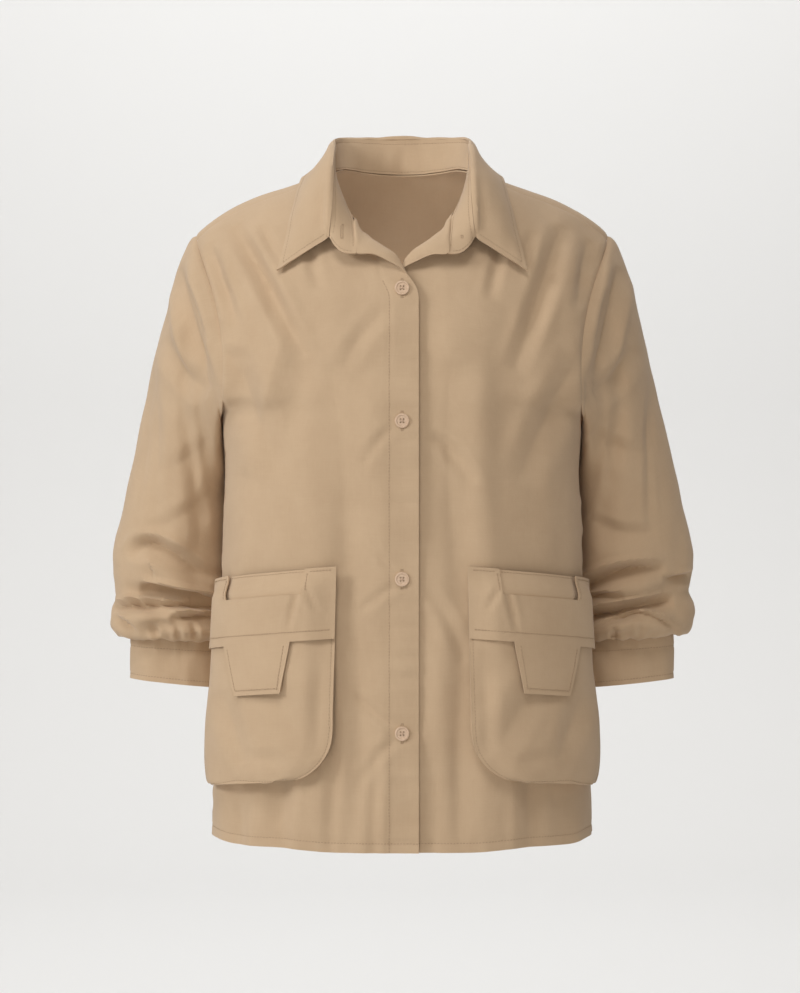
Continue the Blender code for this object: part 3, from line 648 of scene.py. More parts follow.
# The armhole point at a share of the way from the ridge to the chest
def armholePoint(share):
    across = 0.19
    for _ in range(30):
        z = ridgeZ(across) - share * (ridgeZ(across) - bodyForm["chestZ"])
        across = 0.5 * across + 0.5 * armholeAcross(z)
    return across, ridgeZ(across) - share * (ridgeZ(across) - bodyForm["chestZ"])


# How far forward of the ridge the shoulder seam lies, as an angle
def seamAngle(across):
    run = min(max((abs(across) - bodyForm["neckHalfWidth"]) / 0.045, 0.0), 1.0)
    return bodyForm["neckSeamAngle"] + (bodyForm["seamAngle"] - bodyForm["neckSeamAngle"]) * run


# Depth of soft folds at a place, each fading at its ends and sides
def foldDepth(folds, across, z):
    total = 0.0
    for startA, startZ, endA, endZ, halfWidth, depth in folds:
        along = np.array((endA - startA, endZ - startZ))
        length = np.linalg.norm(along)
        offset = np.array((across - startA, z - startZ))
        run = float(offset @ along) / length ** 2
        side = abs(float(offset[0] * along[1] - offset[1] * along[0])) / length
        fade = ramp(-0.25, 0.2, run) * (1 - ramp(0.8, 1.25, run))
        total += depth * fade * math.exp(-(side / halfWidth) ** 2)
    return total


# Fronts. Neck rows: the roll's place and the turned edge's, across and up, and the
# edge's lift. Wrinkles: amount, size across, size up and their edge's reach.
frontForm = {
    "overlap": 0.016,
    "placketWidth": 0.032,
    "underlapDepth": 0.0044,
    "hemRise": 0.0035,
    "cornerRise": 0.0040,
    "neckRows": (
        (0.0120, -0.1600, -0.0160, -0.1600, 0.0000),
        (0.0080, -0.1330, -0.0160, -0.1330, 0.0000),
        (0.0020, -0.1120, -0.0150, -0.1120, 0.0004),
        (-0.0010, -0.0960, -0.0076, -0.0985, 0.0010),
        (0.0040, -0.0830, 0.0020, -0.0893, 0.0035),
        (0.0125, -0.0735, 0.0150, -0.0822, 0.0070),
        (0.0240, -0.0650, 0.0290, -0.0765, 0.0100),
        (0.0350, -0.0565, 0.0445, -0.0752, 0.0125),
        (0.0425, -0.0495, 0.0450, -0.0620, 0.0110),
        (0.0470, -0.0400, 0.0472, -0.0410, 0.0045),
        (0.0540, -0.0243, 0.0540, -0.0250, 0.0004),
        (0.0620, -0.0040, 0.0620, -0.0045, 0.0002),
        (0.0670, 0.0070, 0.0670, 0.0068, 0.0000),
        (0.0700, 0.0145, 0.0700, 0.0145, 0.0000),
    ),
    "folds": (
        (0.170, -0.045, 0.118, -0.140, 0.011, 0.0035),
        (0.190, -0.070, 0.170, -0.120, 0.009, 0.0025),
        (0.052, -0.300, 0.030, -0.520, 0.016, 0.0030),
        (0.110, -0.150, 0.085, -0.330, 0.022, 0.0025),
        (0.045, -0.560, 0.055, -0.651, 0.012, 0.0025),
        (0.135, -0.600, 0.140, -0.651, 0.014, 0.0025),
    ),
    "cell": 0.0032,
    "wall": 0.0013,
    "unevenness": (0.0009, 0.045),
    "longWrinkles": {"right": (0.0032, 0.050, 0.260), "left": (0.0040, 0.050, 0.260)},
    "shortWrinkles": (0.0016, 0.024, 0.090),
    "edgeWrinkles": {
        "bottom": (0.0016, 0.011, 0.060, 0.022),
        "left": (0.0013, 0.060, 0.010, 0.034),
        "right": (0.0024, 0.030, 0.012, 0.024),
    },
    "calmReach": 0.03,
    "placketStitch": 0.0285,
    "placketTop": -0.098,
    "hemStitch": 0.0090,
    "stitchDip": 0.0007,
    "creases": (
        (-0.004, -0.394, -0.022, -0.402, -0.044, -0.424, 0.0040, 0.0014),
        (-0.006, -0.380, -0.020, -0.370, -0.034, -0.350, 0.0035, 0.0012),
        (-0.006, -0.242, -0.024, -0.252, -0.040, -0.284, 0.0045, 0.0013),
        (-0.004, -0.542, -0.024, -0.552, -0.042, -0.590, 0.0045, 0.0016),
        (-0.006, -0.530, -0.026, -0.520, -0.046, -0.498, 0.0040, 0.0018),
        (-0.022, -0.560, -0.030, -0.610, -0.026, -0.660, 0.0050, 0.0020),
        (-0.070, -0.470, -0.062, -0.560, -0.070, -0.655, 0.0060, 0.0020),
        (-0.090, -0.030, -0.096, -0.060, -0.080, -0.110, 0.0050, 0.0024),
        (0.026, -0.250, 0.050, -0.262, 0.070, -0.300, 0.0060, 0.0026),
        (0.024, -0.400, 0.046, -0.420, 0.060, -0.470, 0.0055, 0.0020),
        (0.092, -0.034, 0.098, -0.064, 0.084, -0.120, 0.0050, 0.0026),
        (-0.166, -0.042, -0.138, -0.092, -0.094, -0.176, 0.0075, 0.0056),
        (-0.190, -0.058, -0.180, -0.095, -0.160, -0.145, 0.0055, 0.0034),
        (-0.138, -0.044, -0.130, -0.060, -0.118, -0.085, 0.0045, 0.0018),
        (-0.112, -0.150, -0.128, -0.200, -0.150, -0.290, 0.0150, -0.0040),
        (-0.176, -0.165, -0.150, -0.200, -0.120, -0.290, 0.0120, 0.0036),
        (-0.050, -0.400, -0.036, -0.500, -0.040, -0.640, 0.0110, 0.0024),
        (-0.070, -0.180, -0.050, -0.290, -0.055, -0.420, 0.0170, 0.0030),
        (-0.014, -0.130, -0.040, -0.150, -0.060, -0.190, 0.0070, 0.0016),
        (-0.110, -0.560, -0.122, -0.600, -0.118, -0.665, 0.0090, 0.0030),
        (-0.160, -0.590, -0.158, -0.620, -0.162, -0.665, 0.0080, 0.0024),
        (0.156, -0.042, 0.142, -0.100, 0.108, -0.190, 0.0080, 0.0042),
        (0.186, -0.054, 0.178, -0.090, 0.168, -0.130, 0.0055, 0.0026),
        (0.128, -0.050, 0.120, -0.066, 0.118, -0.090, 0.0050, 0.0018),
        (0.172, -0.170, 0.150, -0.220, 0.112, -0.300, 0.0120, 0.0040),
        (0.046, -0.180, 0.040, -0.300, 0.058, -0.420, 0.0160, 0.0034),
        (0.062, -0.430, 0.050, -0.520, 0.056, -0.660, 0.0120, 0.0024),
        (0.120, -0.565, 0.128, -0.610, 0.122, -0.668, 0.0090, 0.0030),
        (0.026, -0.540, 0.034, -0.600, 0.030, -0.664, 0.0080, 0.0022),
    ),
}


# A point of the front's face, with its folds, and a lift off it
def frontPoint(across, z, lift=0.0):
    y = bodyY(across, z, False)
    dent = foldDepth(frontForm["folds"], across, z) * ramp(0.008, 0.03, across)
    return np.array((across, y + dent - lift, z))


# Rows of one front panel from the hem to the shoulder seam
def frontRows():
    rows = []
    for z in bodyForm["lowerRows"]:
        rightTurn = turnOf(armholeAcross(z), z) if z > bodyForm["underarmZ"] else math.pi / 2
        inset = frontForm["placketWidth"] - frontForm["overlap"]
        row = [frontPoint(w, z) for w in (-frontForm["overlap"], -0.001, inset - 0.0015)]
        start = turnOf(inset + 0.004, z)
        for step in np.linspace(0, 1, bodyForm["frontColumns"]):
            turn = start + (rightTurn - start) * step
            row.append(frontPoint(acrossOf(turn, z), z))
        if z <= bodyForm["underarmZ"]:
            row[-1] = row[-1] + bodyForm["sideGap"]
        rows.append(row)
    angles = np.linspace(math.pi / 2, bodyForm["seamAngle"], len(frontForm["neckRows"]) + 1)
    shares = 1 - np.cos(angles)[1:]
    for share, neck in zip(shares, frontForm["neckRows"]):
        rows.append(neckRow(share, *neck))
    rows[-1] = [point + bodyForm["shoulderGap"] for point in rows[-1]]
    return rows


# A row from the turned-out edge at the open neck, over the roll, to the armhole
def neckRow(share, rollW, rollZ, edgeW, edgeZ, lift):
    armAcross, _ = armholePoint(share)
    startShare = (ridgeZ(rollW) - rollZ) / (ridgeZ(rollW) - bodyForm["chestZ"])
    rollLift = min(lift * 0.25, 0.0022)
    roll = frontPoint(rollW, rollZ, rollLift)
    edge = frontPoint(edgeW, edgeZ, lift)
    middle = 0.5 * (roll + edge) + np.array((0.0, -0.3 * lift, 0.0))
    stepIn = 0.006
    if lift < 0.0005 and edgeZ > -0.03:
        edge = frontPoint(rollW, rollZ)
        middle = onRow(rollW + 0.003, startShare)
        roll = onRow(rollW + 0.006, startShare)
        stepIn = 0.010
    row = [edge, middle, roll]
    first = turnOf(rollW + stepIn, bodyForm["chestZ"])
    last = turnOf(armAcross, bodyForm["chestZ"])
    for step in np.linspace(0, 1, bodyForm["frontColumns"]):
        across = acrossOf(first + (last - first) * step, bodyForm["chestZ"])
        run = (across - rollW) / (armAcross - rollW)
        here = startShare + (share - startShare) * run
        row.append(onRow(across, 0.0 if share <= bodyForm["seamShare"] + 1e-9 else here))
    return row


def onRow(across, share):
    share = max(share, 1 - math.cos(seamAngle(across)))
    top = ridgeZ(across)
    return frontPoint(across, top - share * (top - bodyForm["chestZ"]))


# The hem rises a little toward the side seams
def liftHem(grid):
    aside = np.abs(grid[:, :, 0])
    rise = frontForm["hemRise"] * smoothStep(0.060, 0.130, aside)
    rise = rise + frontForm["cornerRise"] * smoothStep(0.160, 0.188, aside)
    rise = rise * smoothStep(0.560, 0.651, -grid[:, :, 2])
    return grid + np.array((0.0, 0.0, 1.0)) * rise[:, :, None]


# The left front lies a little deeper where the right laps over it
def sinkUnder(grid):
    x = grid[:, :, 0]
    z = grid[:, :, 2]
    depth = frontForm["underlapDepth"] * (1 - smoothStep(0.018, 0.045, x)) * smoothStep(0.060, 0.085, -z)
    grid = grid.copy()
    grid[:, :, 1] += depth
    return grid


coarseFront = frontRows()
frontGrid = liftHem(refine(coarseFront, frontForm["cell"]))
finished = {}
for side, sign in sides:
    outside = (sign * 0.1, -0.5, -0.3)
    grid = mirrorGrid(frontGrid) if side == "right" else sinkUnder(frontGrid)
    normals = gridNormals(grid, outside)
    base = grid
    grid = layCreases(grid, normals, frontForm["creases"], -1)
    grid = ripple(grid, normals, *frontForm["unevenness"])
    seed = 3.0 * sign
    free = 1 - nearEdge(grid, "left", frontForm["calmReach"]) * 0.7
    grid = drawnOut(grid, normals, *frontForm["longWrinkles"][side], free, seed)
    grid = drawnOut(grid, normals, *frontForm["shortWrinkles"], free, seed + 4.0)
    for edge, step in (("bottom", 1.0), ("left", 2.0), ("right", 6.0)):
        *wrinkles, reach = frontForm["edgeWrinkles"][edge]
        grid = drawnOut(grid, normals, *wrinkles, nearEdge(grid, edge, reach), seed + step)
    grid = closeSeams(grid, normals, base, ("right", "top"))
    grid = sewEdges(grid, normals, ("bottom",), frontForm["hemStitch"], frontForm["stitchDip"])
    if side == "right":
        grid = sewnTrough(grid, normals, "left", frontForm["placketStitch"], frontForm["stitchDip"])
        points, outs = insetLine(grid, normals, "left", frontForm["placketStitch"])
        low = points[:, 2] < frontForm["placketTop"]
        threadLines.append((points[low], outs[low]))
    piece = clothPiece("front_cloth_" + side, grid, outside, frontForm["wall"])
    dress(piece, cotton, "front", "front_" + side)
    finished["front_" + side] = piece
print("fronts made")


# Back, with its hidden creases in the same manner
backForm = {
    "neckZ": 0.0185,
    "folds": (
        (0.165, -0.120, 0.110, -0.260, 0.016, 0.0040),
        (0.060, -0.280, 0.075, -0.520, 0.020, 0.0035),
        (0.120, -0.380, 0.105, -0.640, 0.022, 0.0045),
        (0.020, -0.450, 0.010, -0.640, 0.018, 0.0035),
    ),
    "cell": 0.0042,
    "wall": 0.0013,
    "unevenness": (0.0011, 0.045),
    "longWrinkles": (0.0040, 0.060, 0.280),
    "shortWrinkles": (0.0016, 0.026, 0.100),
    "hemWrinkles": (0.0016, 0.012, 0.060, 0.022),
    "calmReach": 0.05,
    "hemStitch": 0.0090,
    "stitchDip": 0.0007,
    "creases": (
        (-0.172, -0.130, -0.140, -0.180, -0.090, -0.270, 0.0110, 0.0046),
        (0.168, -0.120, 0.146, -0.190, 0.100, -0.250, 0.0100, 0.0040),
        (-0.176, -0.190, -0.150, -0.230, -0.120, -0.330, 0.0120, 0.0036),
        (0.178, -0.200, 0.150, -0.250, 0.130, -0.330, 0.0130, 0.0040),
        (-0.060, -0.070, 0.000, -0.086, 0.066, -0.068, 0.0110, 0.0024),
        (-0.086, -0.300, -0.070, -0.420, -0.088, -0.650, 0.0150, 0.0046),
        (0.066, -0.320, 0.082, -0.450, 0.070, -0.655, 0.0160, 0.0044),
        (0.010, -0.400, -0.004, -0.520, 0.006, -0.660, 0.0140, 0.0034),
        (0.132, -0.420, 0.138, -0.520, 0.128, -0.655, 0.0120, 0.0036),
        (-0.140, -0.440, -0.132, -0.540, -0.142, -0.655, 0.0120, 0.0038),
    ),
}


def backPoint(across, z):
    y = bodyY(across, z, True)
    return np.array((across, y - foldDepth(backForm["folds"], abs(across), z), z))


# Rows of the back, from the hem over the shoulder to the front shoulder seam
def backRows():
    first = turnOf(bodyForm["neckHalfWidth"] + 0.010, bodyForm["chestZ"])
    last = turnOf(armholePoint(bodyForm["seamShare"])[0], bodyForm["chestZ"])
    steps = np.linspace(0, 1, bodyForm["frontColumns"])
    shoulder = [acrossOf(first + (last - first) * step, bodyForm["chestZ"]) for step in steps]
    neck = [0.0, 0.022, 0.042, 0.056, 0.065, bodyForm["neckHalfWidth"]]
    half = np.array(neck + shoulder) / shoulder[-1]
    spread = np.concatenate((-half[:0:-1], half))
    rows = []
    for z in bodyForm["lowerRows"]:
        last = turnOf(armholeAcross(z), z) if z > bodyForm["underarmZ"] else math.pi / 2
        row = [backPoint(acrossOf(last * u, z), z) for u in spread]
        if z <= bodyForm["underarmZ"]:
            row[0] = row[0] - bodyForm["sideGap"]
            row[-1] = row[-1] - bodyForm["sideGap"]
        rows.append(row)
    for level in np.linspace(1, 0, 13)[1:]:
        rows.append([backShoulderPoint(u, level) for u in spread])
    return rows


def backShoulderPoint(u, level):
    reach = abs(u)
    neckU = bodyForm["neckHalfWidth"] / armholePoint(bodyForm["seamShare"])[0]
    end = -seamAngle(max(reach * armholePoint(bodyForm["seamShare"])[0], bodyForm["neckHalfWidth"]))
    if reach < neckU:
        top = ridgeZ(reach * armholePoint(bodyForm["seamShare"])[0])
        neckLevel = max((top - backForm["neckZ"]) / (top - bodyForm["chestZ"]), 0.0)
        neckShare = (reach / neckU) ** 5
        end = math.acos(1 - neckLevel) * (1 - neckShare) + end * neckShare
    angle = end + (math.pi / 2 - end) * level
    share = 1 - math.cos(angle)
    armAngle = (math.pi / 2 + bodyForm["seamAngle"]) * level - bodyForm["seamAngle"]
    armAcross, _ = armholePoint(1 - math.cos(armAngle))
    mix = ramp(1.0, 0.75, level)
    byTurn = acrossOf(turnOf(armAcross, bodyForm["chestZ"]) * reach, bodyForm["chestZ"])
    across = byTurn * (1 - mix) + armAcross * reach * mix
    top = ridgeZ(across)
    z = top - share * (top - bodyForm["chestZ"])
    if angle < 0:
        point = frontPoint(abs(across), z)
        point[0] = across
    else:
        point = backPoint(across, z)
    point[0] = math.copysign(point[0], u) if u else 0.0
    return point


coarseBack = backRows()
outside = (0.0, 0.5, -0.3)
base = liftHem(refine(coarseBack, backForm["cell"]))
normals = gridNormals(base, outside)
grid = layCreases(base, normals, backForm["creases"], 1)
grid = ripple(grid, normals, *backForm["unevenness"])
for wrinkles, seed in ((backForm["longWrinkles"], 11.0), (backForm["shortWrinkles"], 13.0)):
    grid = drawnOut(grid, normals, *wrinkles, 1 - nearEdge(grid, "top", backForm["calmReach"]), seed)
*wrinkles, reach = backForm["hemWrinkles"]
grid = drawnOut(grid, normals, *wrinkles, nearEdge(grid, "bottom", reach), 12.0)
grid = closeSeams(grid, normals, base, ("left", "right", "top"))
grid = sewEdges(grid, normals, ("bottom",), backForm["hemStitch"], backForm["stitchDip"])
piece = clothPiece("back_cloth", grid, outside, backForm["wall"])
dress(piece, cotton, "back", "back")
print("back made")


# Collar: the stand's inner face shows, the leaf turns over it. Shape rows: share of
# the way round, the stand's top and the leaf's free edge.
collarForm = {
    "shape": (
        (0.000, 0.0000, 0.0665, 0.0545, 0.0000, 0.0800, 0.0080),
        (0.170, 0.0340, 0.0650, 0.0545, 0.0420, 0.0765, 0.0080),
        (0.270, 0.0575, 0.0545, 0.0540, 0.0730, 0.0630, 0.0085),
        (0.360, 0.0655, 0.0330, 0.0505, 0.0900, 0.0400, 0.0095),
        (0.520, 0.0655, -0.0330, 0.0340, 0.1010, -0.0100, 0.0080),
        (0.610, 0.0660, -0.0590, 0.0215, 0.1035, -0.0410, -0.0065),
        (0.735, 0.0665, -0.0870, -0.0020, 0.1090, -0.0715, -0.0340),
        (0.833, 0.0675, -0.1030, -0.0270, 0.1135, -0.0860, -0.0560),
        (0.947, 0.0695, -0.1110, -0.0500, 0.1195, -0.0990, -0.0810),
        (1.000, 0.0705, -0.1100, -0.0590, 0.1218, -0.1040, -0.0900),
    ),
    "standRiseGap": -0.0008,
    "standBodyGap": 0.0010,
    "standFrontGap": 0.0006,
    "standRound": 0.0065,
    "leafBulge": 0.0035,
    "leafDent": 0.0075,
    "cell": 0.0028,
    "wall": 0.0017,
    "unevenness": (0.0010, 0.040),
    "standWrinkles": (0.0012, 0.018, 0.030),
    "leafWrinkles": (0.0010, 0.016, 0.030),
    "edgeStitch": 0.0055,
    "stitchDip": 0.0005,
    "standDip": (0.0035, 0.0005),
    "standLines": (
        ("left", 0.0028, 0.006),
        ("right", 0.0045, 0.006),
        ("bottom", 0.0028, 0.003),
        ("top", 0.0028, 0.003),
    ),
}


# Neck seam from centre back to the turned-out front end, on the +X side
def neckSeam(front, back):
    top = back[-1]
    middle = len(top) // 2
    seam = [top[middle + k] for k in range(0, 6)]
    first = len(bodyForm["lowerRows"]) + 7
    seam += [front[k][0] for k in range(len(front) - 2, first - 1, -1)]
    return seam


# Neck seam points with one more between each two
def halved(points):
    fine = [points[0]]
    for a, b in zip(points, points[1:]):
        fine += [0.5 * (a + b), b]
    return fine


def sharesAlong(points):
    lengths = runsAlong(points)
    return lengths / lengths[-1]


# Stand columns from the neck seam up to the fold, for the +X half
def standHalf(seam):
    columns = []
    fine = halved(seam)
    for foot, share in zip(fine, sharesAlong(fine)):
        head = smoothTable(collarForm["shape"], share)[0:3]
        rise = unit(head - foot)
        offBody = unit(foot - np.array((0.35 * foot[0], 0.0, -0.10)))
        gap = collarForm["standBodyGap"] + collarForm["standFrontGap"] * ramp(0.45, 0.7, share)
        foot = foot + rise * collarForm["standRiseGap"] + offBody * gap
        ahead = np.array((0.35, -0.35, -0.87))
        column = []
        for v in (0.0, 0.12, 0.4, 0.75, 1.0):
            point = foot + (head - foot) * v
            roundEnd = ramp(0.9, 1.0, share) * collarForm["standRound"] * math.sin(math.pi * v)
            column.append(point + ahead * roundEnd)
        columns.append(column)
    return columns


# Leaf columns: out of the stand's top, over the roll and down to the free edge
def leafHalf(seam):
    columns = []
    fine = halved(seam)
    for foot, share in zip(fine, sharesAlong(fine)):
        shape = smoothTable(collarForm["shape"], share)
        head = shape[0:3]
        free = shape[3:6]
        rise = unit(head - foot)
        fall = free - head
        out = unit(fall - rise * float(fall @ rise))
        down = unit(fall)
        swell = unit(rise - down * float(rise @ down))
        flat = 1 - 0.75 * ramp(0.90, 1.0, share)
        dent = collarForm["leafDent"] * math.exp(-((share - 0.46) / 0.13) ** 2)
        bulge = (collarForm["leafBulge"] - dent) * (1 - ramp(0.88, 1.0, share))
        column = [head + rise * 0.0003 + out * 0.0001]
        column.append(head + rise * 0.0036 * flat + out * 0.0008)
        column.append(head + rise * 0.0050 * flat + out * 0.0036 * flat)
        start = head + rise * 0.0038 * flat + out * 0.0070 * flat
        for v in (0.0, 0.25, 0.55, 0.85, 1.0):
            column.append(start + (free - start) * v + swell * bulge * math.sin(math.pi * v))
        columns.append(column)
    return columns


def mirrored(columns):
    flip = np.array((-1.0, 1.0, 1.0))
    left = [[point * flip for point in column] for column in columns[:0:-1]]
    return left + columns


seam = neckSeam(coarseFront, coarseBack)
outside = (0.0, 0.0, 0.045)  # inside the neck, where the stand shows
grid = refine(mirrored(standHalf(seam)), collarForm["cell"])
normals = gridNormals(grid, outside)
grid = drawnOut(grid, normals, *collarForm["standWrinkles"], 1.0, 5.0)
for edge in ("left", "right"):
    grid = sewnTrough(grid, normals, edge, *collarForm["standDip"])
for edge, inset, trim in collarForm["standLines"]:
    threadLines.append(insetLine(grid, normals, edge, inset, trim))
standPiece = clothPiece("collar_stand_cloth", grid, outside, collarForm["wall"])
dress(standPiece, cotton, "collar", "collar_stand")

outside = (0.0, 0.3, 0.1)
grid = refine(mirrored(leafHalf(seam)), collarForm["cell"])
normals = gridNormals(grid, outside)
grid = ripple(grid, normals, *collarForm["unevenness"], 3.0)
grid = drawnOut(grid, normals, *collarForm["leafWrinkles"], 1.0, 8.0)
inset = collarForm["edgeStitch"]
grid = sewEdges(grid, normals, ("right", "bottom", "top"), inset, collarForm["stitchDip"], inset)
piece = clothPiece("collar_leaf_cloth", grid, outside, collarForm["wall"])
dress(piece, cotton, "collar", "collar_leaf")
print("collar made")


# Sleeves gathered over their cuffs, each side with its own creases. Ring rows: outer
# x and z, inner x and z, centre y, half depth and share of the armhole's shape.
sleeveForm = {
    "rings": (
        (0.2090, -0.0510, 0.1803, -0.2350, 0.010, 0.0720, 1.00),
        (0.2165, -0.0640, 0.1806, -0.2480, 0.014, 0.0720, 0.80),
        (0.2250, -0.0840, 0.1798, -0.2620, 0.020, 0.0715, 0.50),
        (0.2335, -0.1100, 0.1782, -0.2760, 0.028, 0.0700, 0.22),
        (0.2428, -0.1400, 0.1766, -0.2900, 0.036, 0.0680, 0.06),
        (0.2518, -0.1750, 0.1760, -0.3060, 0.043, 0.0655, 0.00),
        (0.2612, -0.2150, 0.1754, -0.3260, 0.047, 0.0630, 0.00),
        (0.2700, -0.2560, 0.1752, -0.3470, 0.050, 0.0605, 0.00),
        (0.2790, -0.2980, 0.1755, -0.3690, 0.051, 0.0585, 0.00),
        (0.2880, -0.3360, 0.1762, -0.3880, 0.051, 0.0565, 0.00),
        (0.2945, -0.3680, 0.1775, -0.4020, 0.051, 0.0550, 0.00),
        (0.2930, -0.3880, 0.1775, -0.4120, 0.051, 0.0525, 0.00),
        (0.2912, -0.4000, 0.1785, -0.4200, 0.051, 0.0465, 0.00),
        (0.2925, -0.4120, 0.1778, -0.4290, 0.051, 0.0485, 0.00),
        (0.2965, -0.4280, 0.1775, -0.4400, 0.051, 0.0490, 0.00),
        (0.2950, -0.4420, 0.1780, -0.4500, 0.051, 0.0465, 0.00),
        (0.2890, -0.4505, 0.1800, -0.4560, 0.051, 0.0420, 0.00),
        (0.2825, -0.4510, 0.1825, -0.4565, 0.051, 0.0360, 0.00),
        (0.2772, -0.4460, 0.1846, -0.4520, 0.051, 0.0318, 0.00),
    ),
    "folds": (
        (60.0, 0.12, 120.0, 0.42, 12.0, 0.0060),
        (95.0, 0.16, 150.0, 0.40, 11.0, 0.0045),
        (30.0, 0.45, 62.0, 0.72, 14.0, 0.0035),
        (240.0, 0.15, 215.0, 0.40, 12.0, 0.0055),
        (300.0, 0.45, 275.0, 0.75, 14.0, 0.0040),
    ),
    "gathers": 9,
    "gatherDepth": 0.0022,
    "armholeGap": -0.0006,
    "cell": 0.0026,
    "wall": 0.0013,
    "unevenness": (0.0012, 0.032),
    "longWrinkles": (0.0032, 0.034, 0.170),
    "shortWrinkles": (0.0013, 0.018, 0.050),
    "slackWrinkles": (0.0040, 0.050, 0.014),
    "slackFrom": (0.34, 0.42),
    "cuffWrinkles": (0.0042, 0.009, 0.030, 0.016, 0.002),
    "calmReach": 0.012,
    "overhang": 0.62,
    "frontCreases": {
        "right": (
            (-0.226, -0.078, -0.208, -0.140, -0.190, -0.205, 0.0070, 0.0078),
            (-0.212, -0.100, -0.200, -0.130, -0.190, -0.160, 0.0045, 0.0034),
            (-0.236, -0.150, -0.215, -0.190, -0.190, -0.210, 0.0080, 0.0040),
            (-0.262, -0.160, -0.256, -0.230, -0.262, -0.310, 0.0120, 0.0030),
            (-0.190, -0.250, -0.214, -0.275, -0.240, -0.285, 0.0090, 0.0014),
            (-0.187, -0.300, -0.215, -0.335, -0.262, -0.345, 0.0090, 0.0018),
            (-0.272, -0.372, -0.262, -0.332, -0.190, -0.394, 0.0085, 0.0085),
            (-0.262, -0.400, -0.232, -0.403, -0.182, -0.416, 0.0058, 0.0125),
            (-0.300, -0.420, -0.250, -0.414, -0.178, -0.423, 0.0046, 0.0085),
            (-0.232, -0.431, -0.206, -0.427, -0.178, -0.432, 0.0050, 0.0095),
            (-0.292, -0.430, -0.277, -0.436, -0.266, -0.446, 0.0040, 0.0044),
            (-0.246, -0.340, -0.243, -0.260, -0.250, -0.180, 0.0060, 0.0010),
            (-0.206, -0.320, -0.200, -0.340, -0.204, -0.366, 0.0060, 0.0012),
            (-0.250, -0.436, -0.247, -0.446, -0.244, -0.452, 0.0030, 0.0020),
            (-0.210, -0.436, -0.208, -0.446, -0.206, -0.454, 0.0028, 0.0026),
            (-0.225, -0.438, -0.224, -0.447, -0.223, -0.453, 0.0028, 0.0022),
        ),
        "left": (
            (0.218, -0.080, 0.206, -0.140, 0.190, -0.200, 0.0070, 0.0070),
            (0.204, -0.105, 0.196, -0.130, 0.188, -0.165, 0.0045, 0.0030),
            (0.232, -0.160, 0.212, -0.195, 0.188, -0.208, 0.0080, 0.0036),
            (0.258, -0.170, 0.250, -0.240, 0.262, -0.320, 0.0120, 0.0030),
            (0.188, -0.245, 0.210, -0.262, 0.244, -0.268, 0.0090, 0.0028),
            (0.186, -0.330, 0.212, -0.350, 0.256, -0.345, 0.0090, 0.0032),
            (0.180, -0.402, 0.216, -0.374, 0.264, -0.382, 0.0072, 0.0105),
            (0.296, -0.386, 0.280, -0.392, 0.262, -0.392, 0.0040, 0.0050),
            (0.180, -0.432, 0.226, -0.413, 0.274, -0.413, 0.0058, 0.0125),
            (0.188, -0.447, 0.236, -0.408, 0.280, -0.446, 0.0038, 0.0060),
            (0.184, -0.412, 0.200, -0.408, 0.222, -0.406, 0.0040, 0.0050),
            (0.248, -0.350, 0.246, -0.280, 0.252, -0.200, 0.0045, 0.0016),
            (0.214, -0.438, 0.213, -0.447, 0.212, -0.455, 0.0028, 0.0024),
            (0.240, -0.436, 0.238, -0.446, 0.236, -0.453, 0.0028, 0.0022),
        ),
    },
    "backCreases": (
        (0.222, -0.100, 0.206, -0.150, 0.190, -0.215, 0.0080, 0.0044),
        (0.240, -0.190, 0.214, -0.230, 0.188, -0.250, 0.0090, 0.0038),
        (0.264, -0.220, 0.256, -0.280, 0.270, -0.340, 0.0110, 0.0030),
        (0.188, -0.320, 0.220, -0.345, 0.268, -0.350, 0.0090, 0.0036),
        (0.182, -0.395, 0.225, -0.390, 0.286, -0.384, 0.0055, 0.0080),
        (0.186, -0.427, 0.236, -0.412, 0.288, -0.420, 0.0045, 0.0085),
        (0.196, -0.368, 0.230, -0.352, 0.276, -0.366, 0.0070, 0.0050),
        (0.222, -0.436, 0.221, -0.446, 0.220, -0.454, 0.0028, 0.0022),
        (0.244, -0.436, 0.243, -0.446, 0.242, -0.453, 0.0028, 0.0022),
        (0.204, -0.438, 0.203, -0.447, 0.202, -0.455, 0.0028, 0.0020),
    ),
}


cuffForm = {
    "top": (0.2765, -0.4470, 0.1850, -0.4530),
    "foot": (0.2760, -0.4935, 0.1830, -0.5030),
    "centreY": 0.051,
    "halfDepth": 0.0310,
    "cell": 0.0030,
    "wall": 0.0017,
    "unevenness": (0.0006, 0.030),
    "longWrinkles": (0.0022, 0.014, 0.045),
    "seamWrinkles": (0.0018, 0.005, 0.020, 0.022),
    "stitches": {"bottom": 0.0135, "top": 0.0050},
    "stitchDip": 0.0006,
}


# The armhole edge from the shoulder tip round by the front, as turns and points
def armholeLoop(front, back):
    firstOpen = bodyForm["lowerRows"].index(bodyForm["underarmZ"])
    downFront = [front[k][-1] for k in range(len(front) - 1, firstOpen - 1, -1)]
    upBack = [back[k][-1] for k in range(firstOpen + 1, len(back) - 1)]
    loop = downFront + upBack + downFront[:1]
    under = len(downFront) - 1
    lengths = runsAlong(loop)
    frontLength = lengths[under]
    backLength = lengths[-1] - frontLength
    keyed = []
    for point, length in zip(loop[:-1], lengths):
        if length <= frontLength:
            turn = 180.0 * length / frontLength
        else:
            turn = 180.0 + 180.0 * (length - frontLength) / backLength
        keyed.append((turn, point))
    return keyed


def sleeveFold(turn, share):
    total = 0.0
    for startTurn, startShare, endTurn, endShare, halfWidth, depth in sleeveForm["folds"]:
        run = (share - startShare) / (endShare - startShare)
        centre = startTurn + (endTurn - startTurn) * run
        fade = ramp(-0.2, 0.25, run) * (1 - ramp(0.75, 1.2, run))
        total += depth * fade * math.exp(-((turn - centre) / halfWidth) ** 2)
    return total


